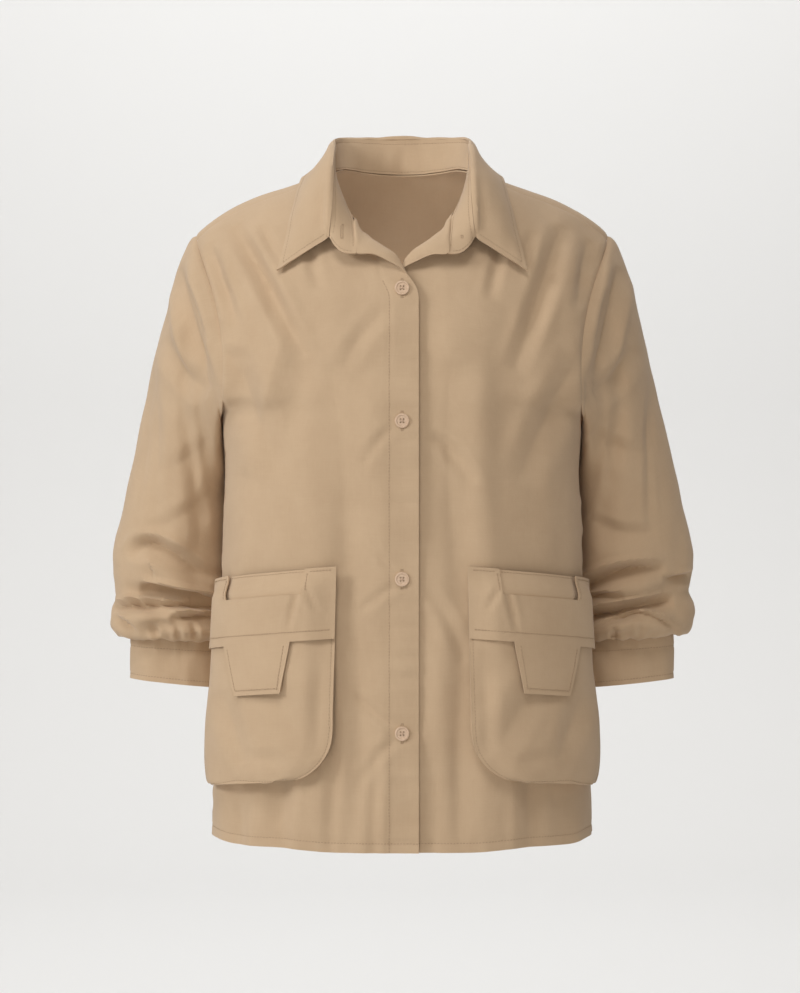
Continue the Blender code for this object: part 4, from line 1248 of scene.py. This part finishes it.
# Sleeve rings for the +X side, each a closed loop of points
def sleeveRings(loop):
    rings = []
    last = len(sleeveForm["rings"]) - 1
    for index, row in enumerate(sleeveForm["rings"]):
        outerX, outerZ, innerX, innerZ, centreY, halfDepth, own = row
        outer = np.array((outerX, centreY, outerZ))
        inner = np.array((innerX, centreY, innerZ))
        centre = 0.5 * (outer + inner)
        arm = outer - centre
        share = index / last
        ring = []
        gathering = sleeveForm["gatherDepth"] * ramp(0.62, 0.88, share) * (1 - ramp(0.88, 0.97, share))
        for turn, point in loop:
            angle = math.radians(turn)
            gather = gathering * math.cos(sleeveForm["gathers"] * angle + 2.6 * index)
            reach = 1 - (sleeveFold(turn, share) + gather * abs(math.sin(angle))) / halfDepth
            side = -math.sin(angle) * halfDepth * reach
            oval = centre + arm * math.cos(angle) + np.array((0.0, side, 0.0))
            lean = 0.004 * index * (0.5 + 0.5 * math.cos(angle))
            seam = point + np.array((sleeveForm["armholeGap"] + lean, 0.0, 0.0))
            ring.append(oval * (1 - own) + seam * own)
        rings.append(ring)
    return rings


# Cuff rings, from the sleeve's gathers down to the cuff's open foot
def cuffRings(loop):
    rings = []
    for share in (0.0, 0.35, 0.7, 1.0):
        top = np.array(cuffForm["top"])
        foot = np.array(cuffForm["foot"])
        outerX, outerZ, innerX, innerZ = top + (foot - top) * share
        centreX = 0.5 * (outerX + innerX)
        centreZ = 0.5 * (outerZ + innerZ)
        ring = []
        for turn, _ in loop:
            angle = math.radians(turn)
            x = centreX + 0.5 * (outerX - innerX) * math.cos(angle)
            z = centreZ + 0.5 * (outerZ - innerZ) * math.cos(angle)
            ring.append(np.array((x, cuffForm["centreY"] - cuffForm["halfDepth"] * math.sin(angle), z)))
        rings.append(ring)
    return rings


loop = armholeLoop(coarseFront, coarseBack)
sleeveGrid = refine(sleeveRings(loop), sleeveForm["cell"], closed=True)
cuffGrid = refine(cuffRings(loop), cuffForm["cell"], closed=True)


def makeSleeve(side, sign):
    outside = (sign * 0.5, 0.05, -0.3)
    base = mirrorGrid(sleeveGrid) if side == "right" else sleeveGrid
    normals = gridNormals(base, outside)
    overhang = sleeveForm["overhang"]
    grid = layCreases(base, normals, sleeveForm["frontCreases"][side], -1, overhang)
    grid = layCreases(grid, normals, sidedCreases(sleeveForm["backCreases"], sign), 1, overhang)
    grid = ripple(grid, normals, *sleeveForm["unevenness"], 5.0 * sign)
    free = 1 - nearEdge(grid, "bottom", sleeveForm["calmReach"])
    grid = drawnOut(grid, normals, *sleeveForm["longWrinkles"], free, 7.0 * sign)
    grid = drawnOut(grid, normals, *sleeveForm["shortWrinkles"], free, 9.0 * sign)
    low = smoothStep(*sleeveForm["slackFrom"], -grid[:, :, 2])
    grid = drawnOut(grid, normals, *sleeveForm["slackWrinkles"], low, 4.0 * sign)
    *wrinkles, reach, seamReach = sleeveForm["cuffWrinkles"]
    gathered = nearEdge(grid, "top", reach) * (1 - nearEdge(grid, "top", seamReach))
    grid = drawnOut(grid, normals, *wrinkles, gathered, 2.0 * sign)
    grid = closeSeams(grid, normals, base, ("bottom",))
    piece = clothPiece("sleeve_cloth_" + side, grid, outside, sleeveForm["wall"], closed=True)
    dress(piece, cotton, "sleeve", "sleeve_" + side)


def makeCuff(side, sign):
    outside = (sign * 0.5, 0.05, -0.47)
    grid = mirrorGrid(cuffGrid) if side == "right" else cuffGrid
    normals = gridNormals(grid, outside)
    grid = ripple(grid, normals, *cuffForm["unevenness"], 9.0)
    *wrinkles, reach = cuffForm["seamWrinkles"]
    seamed = nearEdge(grid, "bottom", reach)
    grid = drawnOut(grid, normals, *cuffForm["longWrinkles"], 1.0, 15.0 * sign)
    grid = drawnOut(grid, normals, *wrinkles, seamed, 17.0 * sign)
    for edge, inset in cuffForm["stitches"].items():
        grid = sewEdges(grid, normals, (edge,), inset, cuffForm["stitchDip"])
    piece = clothPiece("cuff_cloth_" + side, grid, outside, cuffForm["wall"], closed=True)
    dress(piece, cotton, "cuff", "cuff_" + side)


for side, sign in sides:
    makeSleeve(side, sign)
    makeCuff(side, sign)
print("sleeves and cuffs made")


# Pockets: bag, gathered side strip, flap with its slit and tab, cloth behind. Bag
# stitch: inset, dip and trim. Paths: shares of the width and depths below the top.
pocketForm = {
    "innerTurn": math.radians(16.5),
    "outerTurn": math.radians(83.0),
    "topInnerZ": -0.3764,
    "topOuterZ": -0.3915,
    "height": 0.2030,
    "mouth": 0.0240,
    "band": 0.0690,
    "tab": 0.1180,
    "corner": 0.42,
    "mouthStart": 0.150,
    "mouthEnd": 0.650,
    "slitLean": 0.060,
    "tabTopStart": 0.2045,
    "tabFootStart": 0.245,
    "tabFootEnd": 0.525,
    "cornerStart": 0.785,
    "edgeHeight": 0.0042,
    "sideHeight": 0.0045,
    "sideSwell": 0.0060,
    "middleHeight": 0.0125,
    "middleSwell": 0.0020,
    "flapLift": 0.0028,
    "tabLift": 0.0018,
    "mouthBackingHeight": 0.0024,
    "mouthCloth": 0.0012,
    "gussetCloth": 0.0010,
    "cell": 0.0028,
    "creases": (
        (0.098, -0.392, 0.104, -0.410, 0.110, -0.440, 0.0030, 0.0016),
        (0.094, -0.394, 0.088, -0.408, 0.080, -0.420, 0.0030, 0.0014),
        (0.150, -0.470, 0.120, -0.500, 0.084, -0.560, 0.0120, 0.0018),
        (0.076, -0.470, 0.084, -0.520, 0.080, -0.560, 0.0070, 0.0015),
        (0.174, -0.500, 0.166, -0.540, 0.150, -0.565, 0.0090, 0.0026),
        (0.110, -0.566, 0.130, -0.556, 0.160, -0.568, 0.0060, 0.0010),
    ),
    "wall": 0.0013,
    "unevenness": (0.0016, 0.045),
    "flapUnevenness": (0.0004, 0.030),
    "bagWrinkles": (0.0016, 0.030, 0.050),
    "topWrinkles": (0.0012, 0.012, 0.020, 0.020),
    "bagStitch": (0.0035, 0.0006, 0.003),
    "mouthCell": 0.004,
    "flapWidth": 0.19,
    "mouthPath": ((0.14, 0.003), (0.64, 0.003)),
    "flapPaths": (
        ((0.02, 0.003), (0.13, 0.003)),
        ((0.67, 0.003), (0.98, 0.003)),
        ((0.02, 0.060), (0.98, 0.060)),
        ((0.235, 0.072), (0.235, 0.113), (0.62, 0.113), (0.62, 0.072)),
        ((0.668, 0.004), (0.668, 0.022)),
        ((0.135, 0.004), (0.135, 0.022)),
    ),
}


# A place on the pocket: share of its width, depth below its top, height off
# the front panel
def pocketPoint(share, drop, height):
    top = pocketForm["topInnerZ"] + (pocketForm["topOuterZ"] - pocketForm["topInnerZ"]) * share
    z = top - drop
    turn = pocketForm["innerTurn"] + (pocketForm["outerTurn"] - pocketForm["innerTurn"]) * share
    step = 0.01
    here = frontPoint(acrossOf(turn, z), z)
    aside = frontPoint(acrossOf(turn + step, z), z)
    before = frontPoint(acrossOf(turn - step, z), z)
    along = unit(aside - before)
    normal = np.array((-along[1], along[0], 0.0))
    if normal[1] > 0:
        normal = -normal
    return here + normal * height


# How far the pocket's face stands off the front
def pocketHeight(share, drop):
    low = drop / pocketForm["height"]
    sides = pocketForm["sideHeight"] + pocketForm["sideSwell"] * ramp(0.15, 0.75, low)
    middle = pocketForm["middleHeight"] + pocketForm["middleSwell"] * ramp(0.2, 0.7, low)
    inside = ramp(0.0, 0.14, share) * (1 - ramp(0.80, 1.0, share))
    upper = ramp(0.0, 0.11, low)
    full = sides * (1 - inside) + middle * inside
    return pocketForm["edgeHeight"] + (full - pocketForm["edgeHeight"]) * upper


# Half width of the pocket at a depth: it narrows round its lower corners
def pocketSpread(drop):
    low = drop / pocketForm["height"]
    if low < pocketForm["cornerStart"]:
        return 1.0
    t = (low - pocketForm["cornerStart"]) / (1 - pocketForm["cornerStart"])
    return 1 - pocketForm["corner"] * (1 - math.sqrt(max(1 - t * t, 0.0)))


def cornerLevels(angles):
    start = pocketForm["cornerStart"]
    return [start + (1 - start) * math.sin(math.radians(a)) for a in angles]


def bagRows():
    low = [0.13, 0.22, 0.34, 0.46, 0.58, 0.70, pocketForm["cornerStart"]]
    low += cornerLevels((18, 36, 54, 72, 90))
    shares = (0.0, 0.05, 0.13, 0.25, 0.38, 0.50, 0.62, 0.74, 0.85, 0.94, 1.0)
    rows = []
    for level in low:
        drop = level * pocketForm["height"]
        spread = pocketSpread(drop)
        row = []
        for share in shares:
            place = 0.5 + (share - 0.5) * spread
            row.append(pocketPoint(place, drop, pocketHeight(share, drop)))
        rows.append(row)
    return rows


# A place drawn in a little toward the pocket's middle
def inward(place, drop, amount):
    centre = (0.5, 0.42 * pocketForm["height"])
    pullPlace = place + (centre[0] - place) * amount * 2.2
    pullDrop = drop + (centre[1] - drop) * amount * 1.6
    return pullPlace, pullDrop


# The strip between the pocket's face and the front, down one side, along the
# foot and up the other
def gussetRows():
    low = [0.03, 0.13, 0.25, 0.40, 0.55, 0.70, pocketForm["cornerStart"]] + cornerLevels((22, 44, 66, 82))
    path = [(0.0, level) for level in low]
    path += [(share, 1.0) for share in (0.16, 0.3, 0.5, 0.7, 0.84)]
    path += [(1.0, level) for level in reversed(low)]
    rows = []
    for side, level in path:
        drop = level * pocketForm["height"]
        spread = pocketSpread(drop)
        place = 0.5 + (side - 0.5) * spread if level < 1.0 else side * 0.58 + 0.21
        height = pocketHeight(side, drop) - bodyForm["cloth"] - 2 * bodyForm["seamGap"]
        face = inward(place, drop, 0.010)
        foot = inward(place, drop, 0.002)
        middle = inward(place, drop, 0.016)
        row = [pocketPoint(*foot, 0.0019)]
        row.append(pocketPoint(*middle, 0.5 * height))
        row.append(pocketPoint(*face, height))
        rows.append(row)
    return rows


def flapHeight(share, drop):
    tab = pocketForm["tabLift"] * ramp(pocketForm["band"] - 0.01, pocketForm["tab"], drop)
    edge = pocketForm["flapLift"] + tab
    return pocketHeight(share, drop) + edge


# The slit's line leans out toward the top, so that it looks upright in front
def slitPlace(share, drop):
    rise = 1 - min(drop / pocketForm["mouth"], 1.0)
    near = ramp(0.15, pocketForm["mouthEnd"], share) * (1 - ramp(pocketForm["mouthEnd"], 1.0, share))
    return share + pocketForm["slitLean"] * rise * near


# The cloth behind the slit: close under the flap, then down onto the front
def mouthRows():
    rows = []
    for drop in (0.0010, 0.008, 0.016, 0.022, 0.0243, 0.0262, 0.036, 0.052):
        row = []
        end = slitPlace(pocketForm["mouthEnd"], drop)
        for share in np.linspace(0.06, pocketForm["mouthEnd"] + 0.09, 34):
            under = ramp(0.0243, 0.0262, drop)
            slit = ramp(end - 0.030, end - 0.008, share)
            height = flapHeight(share, drop) - 0.0015 - 0.0028 * slit
            height = height * (1 - under) + pocketForm["mouthBackingHeight"] * under
            row.append(pocketPoint(share, drop, height))
        rows.append(row)
    return rows


# Stops with more set evenly between them, about a cell apart
def between(stops, size):
    fine = []
    for a, b in zip(stops, stops[1:]):
        count = max(1, int(round((b - a) * size / pocketForm["cell"])))
        fine += [a + (b - a) * k / count for k in range(count)]
    return fine + [stops[-1]]


# Where a share of the flap lies: the tab below the band narrows to its foot
def flapPlace(share, drop):
    if drop <= pocketForm["band"]:
        return slitPlace(share, drop)
    taper = (drop - pocketForm["band"]) / (pocketForm["tab"] - pocketForm["band"])
    topStart, topEnd = pocketForm["tabTopStart"], pocketForm["mouthEnd"]
    run = (share - topStart) / (topEnd - topStart)
    start = topStart + (pocketForm["tabFootStart"] - topStart) * taper
    end = topEnd + (pocketForm["tabFootEnd"] - topEnd) * taper
    return start + (end - start) * run


def flapOn(share, drop, lift=0.0):
    place = flapPlace(share, drop)
    return pocketPoint(place, drop, flapHeight(place, drop) + lift)


def flapOnNormal(point):
    turn = turnOf(point[0], point[2])
    return np.array((math.sin(turn) ** 1.4, -math.cos(turn), 0.0))


# Points and normals along a path of shares and drops on the flap
def flapStitches(path, sign):
    lift = 0.0003
    points = []
    for a, b in zip(path, path[1:]):
        length = np.hypot((b[0] - a[0]) * pocketForm["flapWidth"], b[1] - a[1])
        count = max(2, int(length / 0.004))
        for k in range(count):
            share, drop = (a[i] + (b[i] - a[i]) * k / count for i in (0, 1))
            points.append(flapOn(share, drop, lift))
    points = np.array(points + [flapOn(*path[-1], lift)])
    outs = np.array([unit(flapOnNormal(p)) for p in points])
    return (mirrorGrid(points), mirrorGrid(outs)) if sign < 0 else (points, outs)


shareStops = [pocketForm[key] for key in ("mouthStart", "tabTopStart", "mouthEnd")]
dropStops = [pocketForm[key] for key in ("mouth", "band", "tab")]
flapShares = between([0.0] + shareStops + [1.0], pocketForm["flapWidth"])
flapDrops = between([0.0] + dropStops, 1.0)
flapGrid = np.array([[flapOn(share, drop) for share in flapShares] for drop in flapDrops])
bagGrid = refine(bagRows(), pocketForm["cell"])
gussetGrid = refine(gussetRows(), pocketForm["cell"])
mouthGrid = refine(mouthRows(), pocketForm["mouthCell"])


# Which cells of the flap's grid are cloth: its ears, its band and its tab
def flapKept(row, column):
    drop = 0.5 * (flapDrops[row] + flapDrops[row + 1])
    share = 0.5 * (flapShares[column] + flapShares[column + 1])
    if drop < pocketForm["mouth"]:
        return share < pocketForm["mouthStart"] or share > pocketForm["mouthEnd"]
    if drop < pocketForm["band"]:
        return True
    return pocketForm["tabTopStart"] < share < pocketForm["mouthEnd"]


def makeBag(side, sign, grid, outside, creases):
    normals = gridNormals(grid, outside)
    grid = layCreases(grid, normals, creases, -1)
    grid = ripple(grid, normals, *pocketForm["unevenness"], 2.0 * sign)
    grid = drawnOut(grid, normals, *pocketForm["bagWrinkles"], 1.0, 6.0 * sign)
    *wrinkles, reach = pocketForm["topWrinkles"]
    grid = drawnOut(grid, normals, *wrinkles, nearEdge(grid, "top", reach), 8.0 * sign)
    grid = sewEdges(grid, normals, ("left", "right", "top"), *pocketForm["bagStitch"])
    piece = clothPiece("pocket_bag_cloth_" + side, grid, outside, pocketForm["wall"])
    dress(piece, cotton, "pocket", "pocket_bag_" + side)


def makeFlap(side, sign, grid, outside, creases):
    normals = gridNormals(grid, outside)
    grid = layCreases(grid, normals, creases, -1)
    grid = ripple(grid, normals, *pocketForm["flapUnevenness"], 3.0 * sign)
    piece = clothPiece("pocket_flap_cloth_" + side, grid, outside, pocketForm["wall"], kept=flapKept)
    dress(piece, cotton, "pocket", "pocket_flap_" + side)


# The mouth's stitches are seated on its cloth, as it lies lower than the flap
def sewPocket(mouth, sign):
    tree = treeOf(mouth)
    points, outs = flapStitches(pocketForm["mouthPath"], sign)
    for k, point in enumerate(points):
        spot, _, _, _ = tree.ray_cast(Vector(point + outs[k] * 0.02), Vector(-outs[k]), 0.04)
        if spot is not None:
            points[k] = np.array(spot) + outs[k] * 0.0001
    threadLines.append((points, outs))
    for path in pocketForm["flapPaths"]:
        threadLines.append(flapStitches(path, sign))


for side, sign in sides:
    outside = (sign * 0.25, -0.30, -0.48)
    bag, gusset, flap, mouth = bagGrid, gussetGrid, flapGrid, mouthGrid
    if side == "right":
        bag, gusset, flap, mouth = map(mirrorGrid, (bag, gusset, flap, mouth))
    creases = sidedCreases(pocketForm["creases"], sign)
    makeBag(side, sign, bag, outside, creases)
    below = (0.0, -0.40, -0.48)
    piece = clothPiece("pocket_gusset_cloth_" + side, gusset, below, pocketForm["gussetCloth"])
    dress(piece, cotton, "gusset", "pocket_gusset_" + side)
    makeFlap(side, sign, flap, outside, creases[:2])
    piece = clothPiece("pocket_mouth_cloth_" + side, mouth, outside, pocketForm["mouthCloth"])
    dress(piece, cotton, "pocket", "pocket_mouth_" + side)
    sewPocket(piece, sign)
print("pockets made")


# Buttons: one is modelled for each place, with a raised rim, four holes and the
# cross of thread that sews it on
buttonForm = {
    "radius": 0.0070,
    "collarRadius": 0.0060,
    "heights": (-0.1090, -0.2370, -0.3887, -0.5365),
    "thickness": 0.0021,
    "rim": 0.0016,
    "dish": 0.0006,
    "dishSlope": 0.0004,
    "edgeBevel": 0.00045,
    "holeRadius": 0.00085,
    "holeSpacing": 0.00145,
    "threadRadius": 0.00024,
    "threadReach": 2.9,
    "threadArch": 0.00045,
    "threadSunk": 0.0005,
    "lift": 0.0002,
    "collarLift": 0.0024,
}


# The face is sunk inside a raised rim, the edges rounded, and drills cut the holes
def makeButton(name, radius):
    deselectAll()
    scale = radius / buttonForm["radius"]
    bpy.ops.mesh.primitive_cylinder_add(vertices=48, radius=radius, depth=buttonForm["thickness"])
    piece = bpy.context.active_object
    piece.name = name
    bpy.ops.object.mode_set(mode="EDIT")
    bpy.ops.mesh.select_all(action="DESELECT")
    shape = bmesh.from_edit_mesh(piece.data)
    for face in shape.faces:
        face.select_set(face.normal.z > 0.9)
    bmesh.update_edit_mesh(piece.data)
    bpy.ops.mesh.inset(thickness=buttonForm["rim"] * scale)
    bpy.ops.mesh.inset(thickness=buttonForm["dishSlope"] * scale, depth=-buttonForm["dish"] * scale)
    bpy.ops.mesh.select_all(action="DESELECT")
    shape = bmesh.from_edit_mesh(piece.data)
    for edge in shape.edges:
        reach = [math.hypot(v.co.x, v.co.y) for v in edge.verts]
        level = abs(edge.verts[0].co.z - edge.verts[1].co.z) < 1e-6
        edge.select_set(min(reach) > radius * 0.98 and level)
    bmesh.update_edit_mesh(piece.data)
    bpy.ops.mesh.bevel(offset=buttonForm["edgeBevel"] * scale, segments=3, affect="EDGES")
    bpy.ops.object.mode_set(mode="OBJECT")
    spacing = buttonForm["holeSpacing"] * scale
    drills = []
    for x in (-spacing, spacing):
        for y in (-spacing, spacing):
            bpy.ops.mesh.primitive_cylinder_add(
                vertices=16, radius=buttonForm["holeRadius"] * scale, depth=0.01, location=(x, y, 0.0))
            drills.append(bpy.context.active_object)
    for drill in drills:
        makeActive(piece)
        cut = piece.modifiers.new("hole", "BOOLEAN")
        cut.operation = "DIFFERENCE"
        cut.solver = "EXACT"
        cut.object = drill
        bpy.ops.object.modifier_apply(modifier=cut.name)
        bpy.data.objects.remove(drill, do_unlink=True)
    makeActive(piece)
    bpy.ops.object.shade_smooth_by_angle(angle=math.radians(35))
    return piece


# Two short threads, crossed and arched over the button's face
def makeCross(name, radius):
    spacing = buttonForm["holeSpacing"] * radius / buttonForm["radius"]
    depth = spacing * buttonForm["threadReach"]
    level = 0.5 * buttonForm["thickness"] - buttonForm["threadSunk"]
    parts = []
    for turn in (45.0, -45.0):
        deselectAll()
        bpy.ops.mesh.primitive_cylinder_add(
            vertices=10, radius=buttonForm["threadRadius"], depth=depth, rotation=(0.0, math.pi / 2, 0.0))
        thread = bpy.context.active_object
        bpy.ops.object.transform_apply(location=False, rotation=True, scale=False)
        bpy.ops.object.mode_set(mode="EDIT")
        bpy.ops.mesh.select_all(action="SELECT")
        bpy.ops.mesh.bisect(plane_co=(0.0, 0.0, 0.0), plane_no=(1.0, 0.0, 0.0))
        bpy.ops.object.mode_set(mode="OBJECT")
        for vert in thread.data.vertices:
            vert.co.z += buttonForm["threadArch"] * (1 - abs(vert.co.x) / (0.5 * depth)) + level
        thread.rotation_euler = (0.0, 0.0, math.radians(turn))
        bpy.ops.object.transform_apply(location=False, rotation=True, scale=False)
        parts.append(thread)
    deselectAll()
    for part in parts:
        part.select_set(True)
    bpy.context.view_layer.objects.active = parts[0]
    bpy.ops.object.join()
    parts[0].name = name
    return parts[0]


# Turns a piece's own mesh to face along a direction, a lift off a place
def seatOn(piece, place, direction, lift):
    direction = Vector(direction).normalized()
    turn = direction.to_track_quat("Z", "Y").to_matrix().to_4x4()
    turn.translation = Vector(place) + direction * lift
    piece.data.transform(turn)


frontTree = treeOf(finished["front_right"])
places = []
for number, height in enumerate(buttonForm["heights"], 1):
    spot, normal, _, _ = frontTree.ray_cast(Vector((0.0, -1.0, height)), Vector((0.0, 1.0, 0.0)))
    normal = Vector((normal.x * 0.5, normal.y, normal.z * 0.5))
    places.append(("button_%d" % number, spot, normal, buttonForm["radius"]))
columns = standHalf(seam)
seat = columns[-2][2]
away = unit(np.cross(columns[-2][3] - columns[-2][1], seat - columns[-3][2]))
away = -away if away[1] < 0 else away
seat = seat + away * buttonForm["collarLift"]
places.append(("button_collar", Vector(seat), Vector(away), buttonForm["collarRadius"]))
for name, spot, normal, radius in places:
    piece = makeButton(name + "_shell", radius)
    cross = makeCross(name + "_thread", radius)
    for part in (piece, cross):
        seatOn(part, spot, normal, 0.5 * buttonForm["thickness"] + buttonForm["lift"])
    dress(piece, plastic, "button", name)
    dress(cross, plastic, "button")
print("buttons made")


# Buttonholes: close stitches along both sides of a slit and across its ends.
# Those on the stand are its own, and the mark of a button's thread.
buttonholeForm = {
    "length": 0.0190,
    "gap": 0.0010,
    "bar": 0.0011,
    "pitch": 0.0007,
    "rise": 0.00030,
    "sunk": 0.00006,
    "halfThread": 0.00030,
    "onStand": ((-0.0582, -0.0535, 0.0140), (0.0580, -0.0590, 0.0030)),
    "corners": ((-1, -1, 0), (1, -1, 0), (1, 1, 0), (-1, 1, 0), (-0.7, 0, 1), (0.7, 0, 1)),
    "faces": ((0, 1, 5, 4), (2, 3, 4, 5), (1, 2, 5), (3, 0, 4), (3, 2, 1, 0)),
}


def makeButtonholes(name, holes):
    verts = []
    faces = []
    for tree, across, height, length in holes:
        steps = int(length / buttonholeForm["pitch"])
        for k in range(steps + 1):
            up = height + (k / steps - 0.5) * length
            isEnd = k in (0, 1, steps - 1, steps)
            half = buttonholeForm["bar"] * (1.5 if isEnd else 0.5)
            for x in ((0.0,) if isEnd else (-buttonholeForm["gap"], buttonholeForm["gap"])):
                spot, _, _, _ = tree.ray_cast(Vector((across + x, -1.0, up)), Vector((0.0, 1.0, 0.0)))
                if spot is None:
                    continue
                first = len(verts)
                for aside, upward, forward in buttonholeForm["corners"]:
                    lift = buttonholeForm["rise"] * forward - buttonholeForm["sunk"]
                    z = spot.z + upward * buttonholeForm["halfThread"]
                    verts.append((spot.x + aside * half, spot.y - lift, z))
                faces += [tuple(first + i for i in face) for face in buttonholeForm["faces"]]
    return listedPiece(name, verts, faces)


holes = [(frontTree, 0.0, height, buttonholeForm["length"]) for height in buttonForm["heights"]]
holes += [(treeOf(standPiece), *place) for place in buttonholeForm["onStand"]]
dress(makeButtonholes("buttonhole_stitches", holes), thread, "front")
dress(sewAll("seam_stitches"), thread, "front")


# Stage, lights and camera. A light's row is place, target, size, power, colour
stageLook = {
    "paper": {
        "colour": (0.80, 0.80, 0.80, 1.0),
        "second": (0.80, 0.80, 0.80, 1.0),
        "roughness": 0.9,
        "scale": 4.0,
        "bumpDepth": 0.0,
    },
    "width": 16.0,
    "floorZ": -1.25,
    "frontY": -7.0,
    "backY": 4.5,
    "bend": 1.2,
    "wallHeight": 5.05,
    "lights": {
        "key": ((-3.2, -1.9, 1.5), (0.0, 0.0, -0.3), 1.3, 75.0, (0.955, 0.985, 1.0)),
        "fill": ((-0.7, -4.1, -0.9), (0.0, 0.0, -0.2), 1.6, 30.0, (1.0, 0.955, 0.885)),
        "top": ((-0.3, -2.2, 2.7), (0.0, 0.0, -0.1), 1.4, 44.0, (1.0, 1.0, 1.0)),
        "neck light": ((0.0, -0.03, -0.26), (0.0, 0.09, -0.05), 0.10, 0.20, (1.0, 1.0, 1.0)),
        "backdrop light": ((0.0, 2.6, 3.6), (0.0, 5.6, -0.4), 4.0, 146.0, (0.985, 0.995, 1.0)),
    },
    "worldColour": (1.0, 0.930, 0.840, 1.0),
    "worldStrength": 0.325,
    "cameraPlace": (-0.002, -3.2, -0.3095),
    "lens": 116.0,
}


# A floor that bends up into a wall, extruded from the plane's far edge
def makeStage():
    deselectAll()
    middleY = -3.5
    middle = (0.0, middleY, stageLook["floorZ"])
    bpy.ops.mesh.primitive_plane_add(size=stageLook["width"], location=middle)
    stage = bpy.context.active_object
    stage.name = "pale_backdrop"
    bpy.ops.object.transform_apply(location=True, rotation=False, scale=False)
    for vert in stage.data.vertices:
        vert.co.y = stageLook["frontY"] if vert.co.y < middleY else stageLook["backY"]
    bpy.ops.object.mode_set(mode="EDIT")
    bpy.ops.mesh.select_all(action="DESELECT")
    shape = bmesh.from_edit_mesh(stage.data)
    for edge in shape.edges:
        edge.select_set(all(vert.co.y > 0 for vert in edge.verts))
    bmesh.update_edit_mesh(stage.data)
    bend = stageLook["bend"]
    angles = [math.radians(a) for a in range(0, 91, 10)]
    steps = []
    for a, b in zip(angles, angles[1:]):
        steps.append((bend * (math.sin(b) - math.sin(a)), bend * (math.cos(a) - math.cos(b))))
    for stepY, stepZ in steps + [(0.0, stageLook["wallHeight"])]:
        bpy.ops.mesh.extrude_region_move(TRANSFORM_OT_translate={"value": (0.0, stepY, stepZ)})
    bpy.ops.mesh.select_all(action="SELECT")
    bpy.ops.mesh.normals_make_consistent(inside=False)
    bpy.ops.object.mode_set(mode="OBJECT")
    bpy.ops.object.shade_smooth()
    stage.data.materials.append(plainMaterial("pale paper", **stageLook["paper"]))


def addLight(name, place, target, size, power, colour):
    light = bpy.data.lights.new(name, "AREA")
    light.shape = "DISK"
    light.size = size
    light.energy = power
    light.color = colour
    item = bpy.data.objects.new(name, light)
    item.location = place
    item.rotation_euler = (Vector(target) - Vector(place)).to_track_quat("-Z", "Y").to_euler()
    bpy.context.scene.collection.objects.link(item)


makeStage()
for name, values in stageLook["lights"].items():
    addLight(name, *values)
world = bpy.data.worlds.new("studio")
world.use_nodes = True
world.node_tree.nodes["Background"].inputs["Color"].default_value = stageLook["worldColour"]
world.node_tree.nodes["Background"].inputs["Strength"].default_value = stageLook["worldStrength"]
bpy.context.scene.world = world
bpy.context.scene.view_settings.view_transform = "Standard"

lens = bpy.data.cameras.new("camera")
lens.lens = stageLook["lens"]
lens.sensor_width = 36.0
camera = bpy.data.objects.new("camera", lens)
camera.location = stageLook["cameraPlace"]
camera.rotation_euler = (math.pi / 2, 0.0, 0.0)
bpy.context.scene.collection.objects.link(camera)
bpy.context.scene.camera = camera
print("stage made")
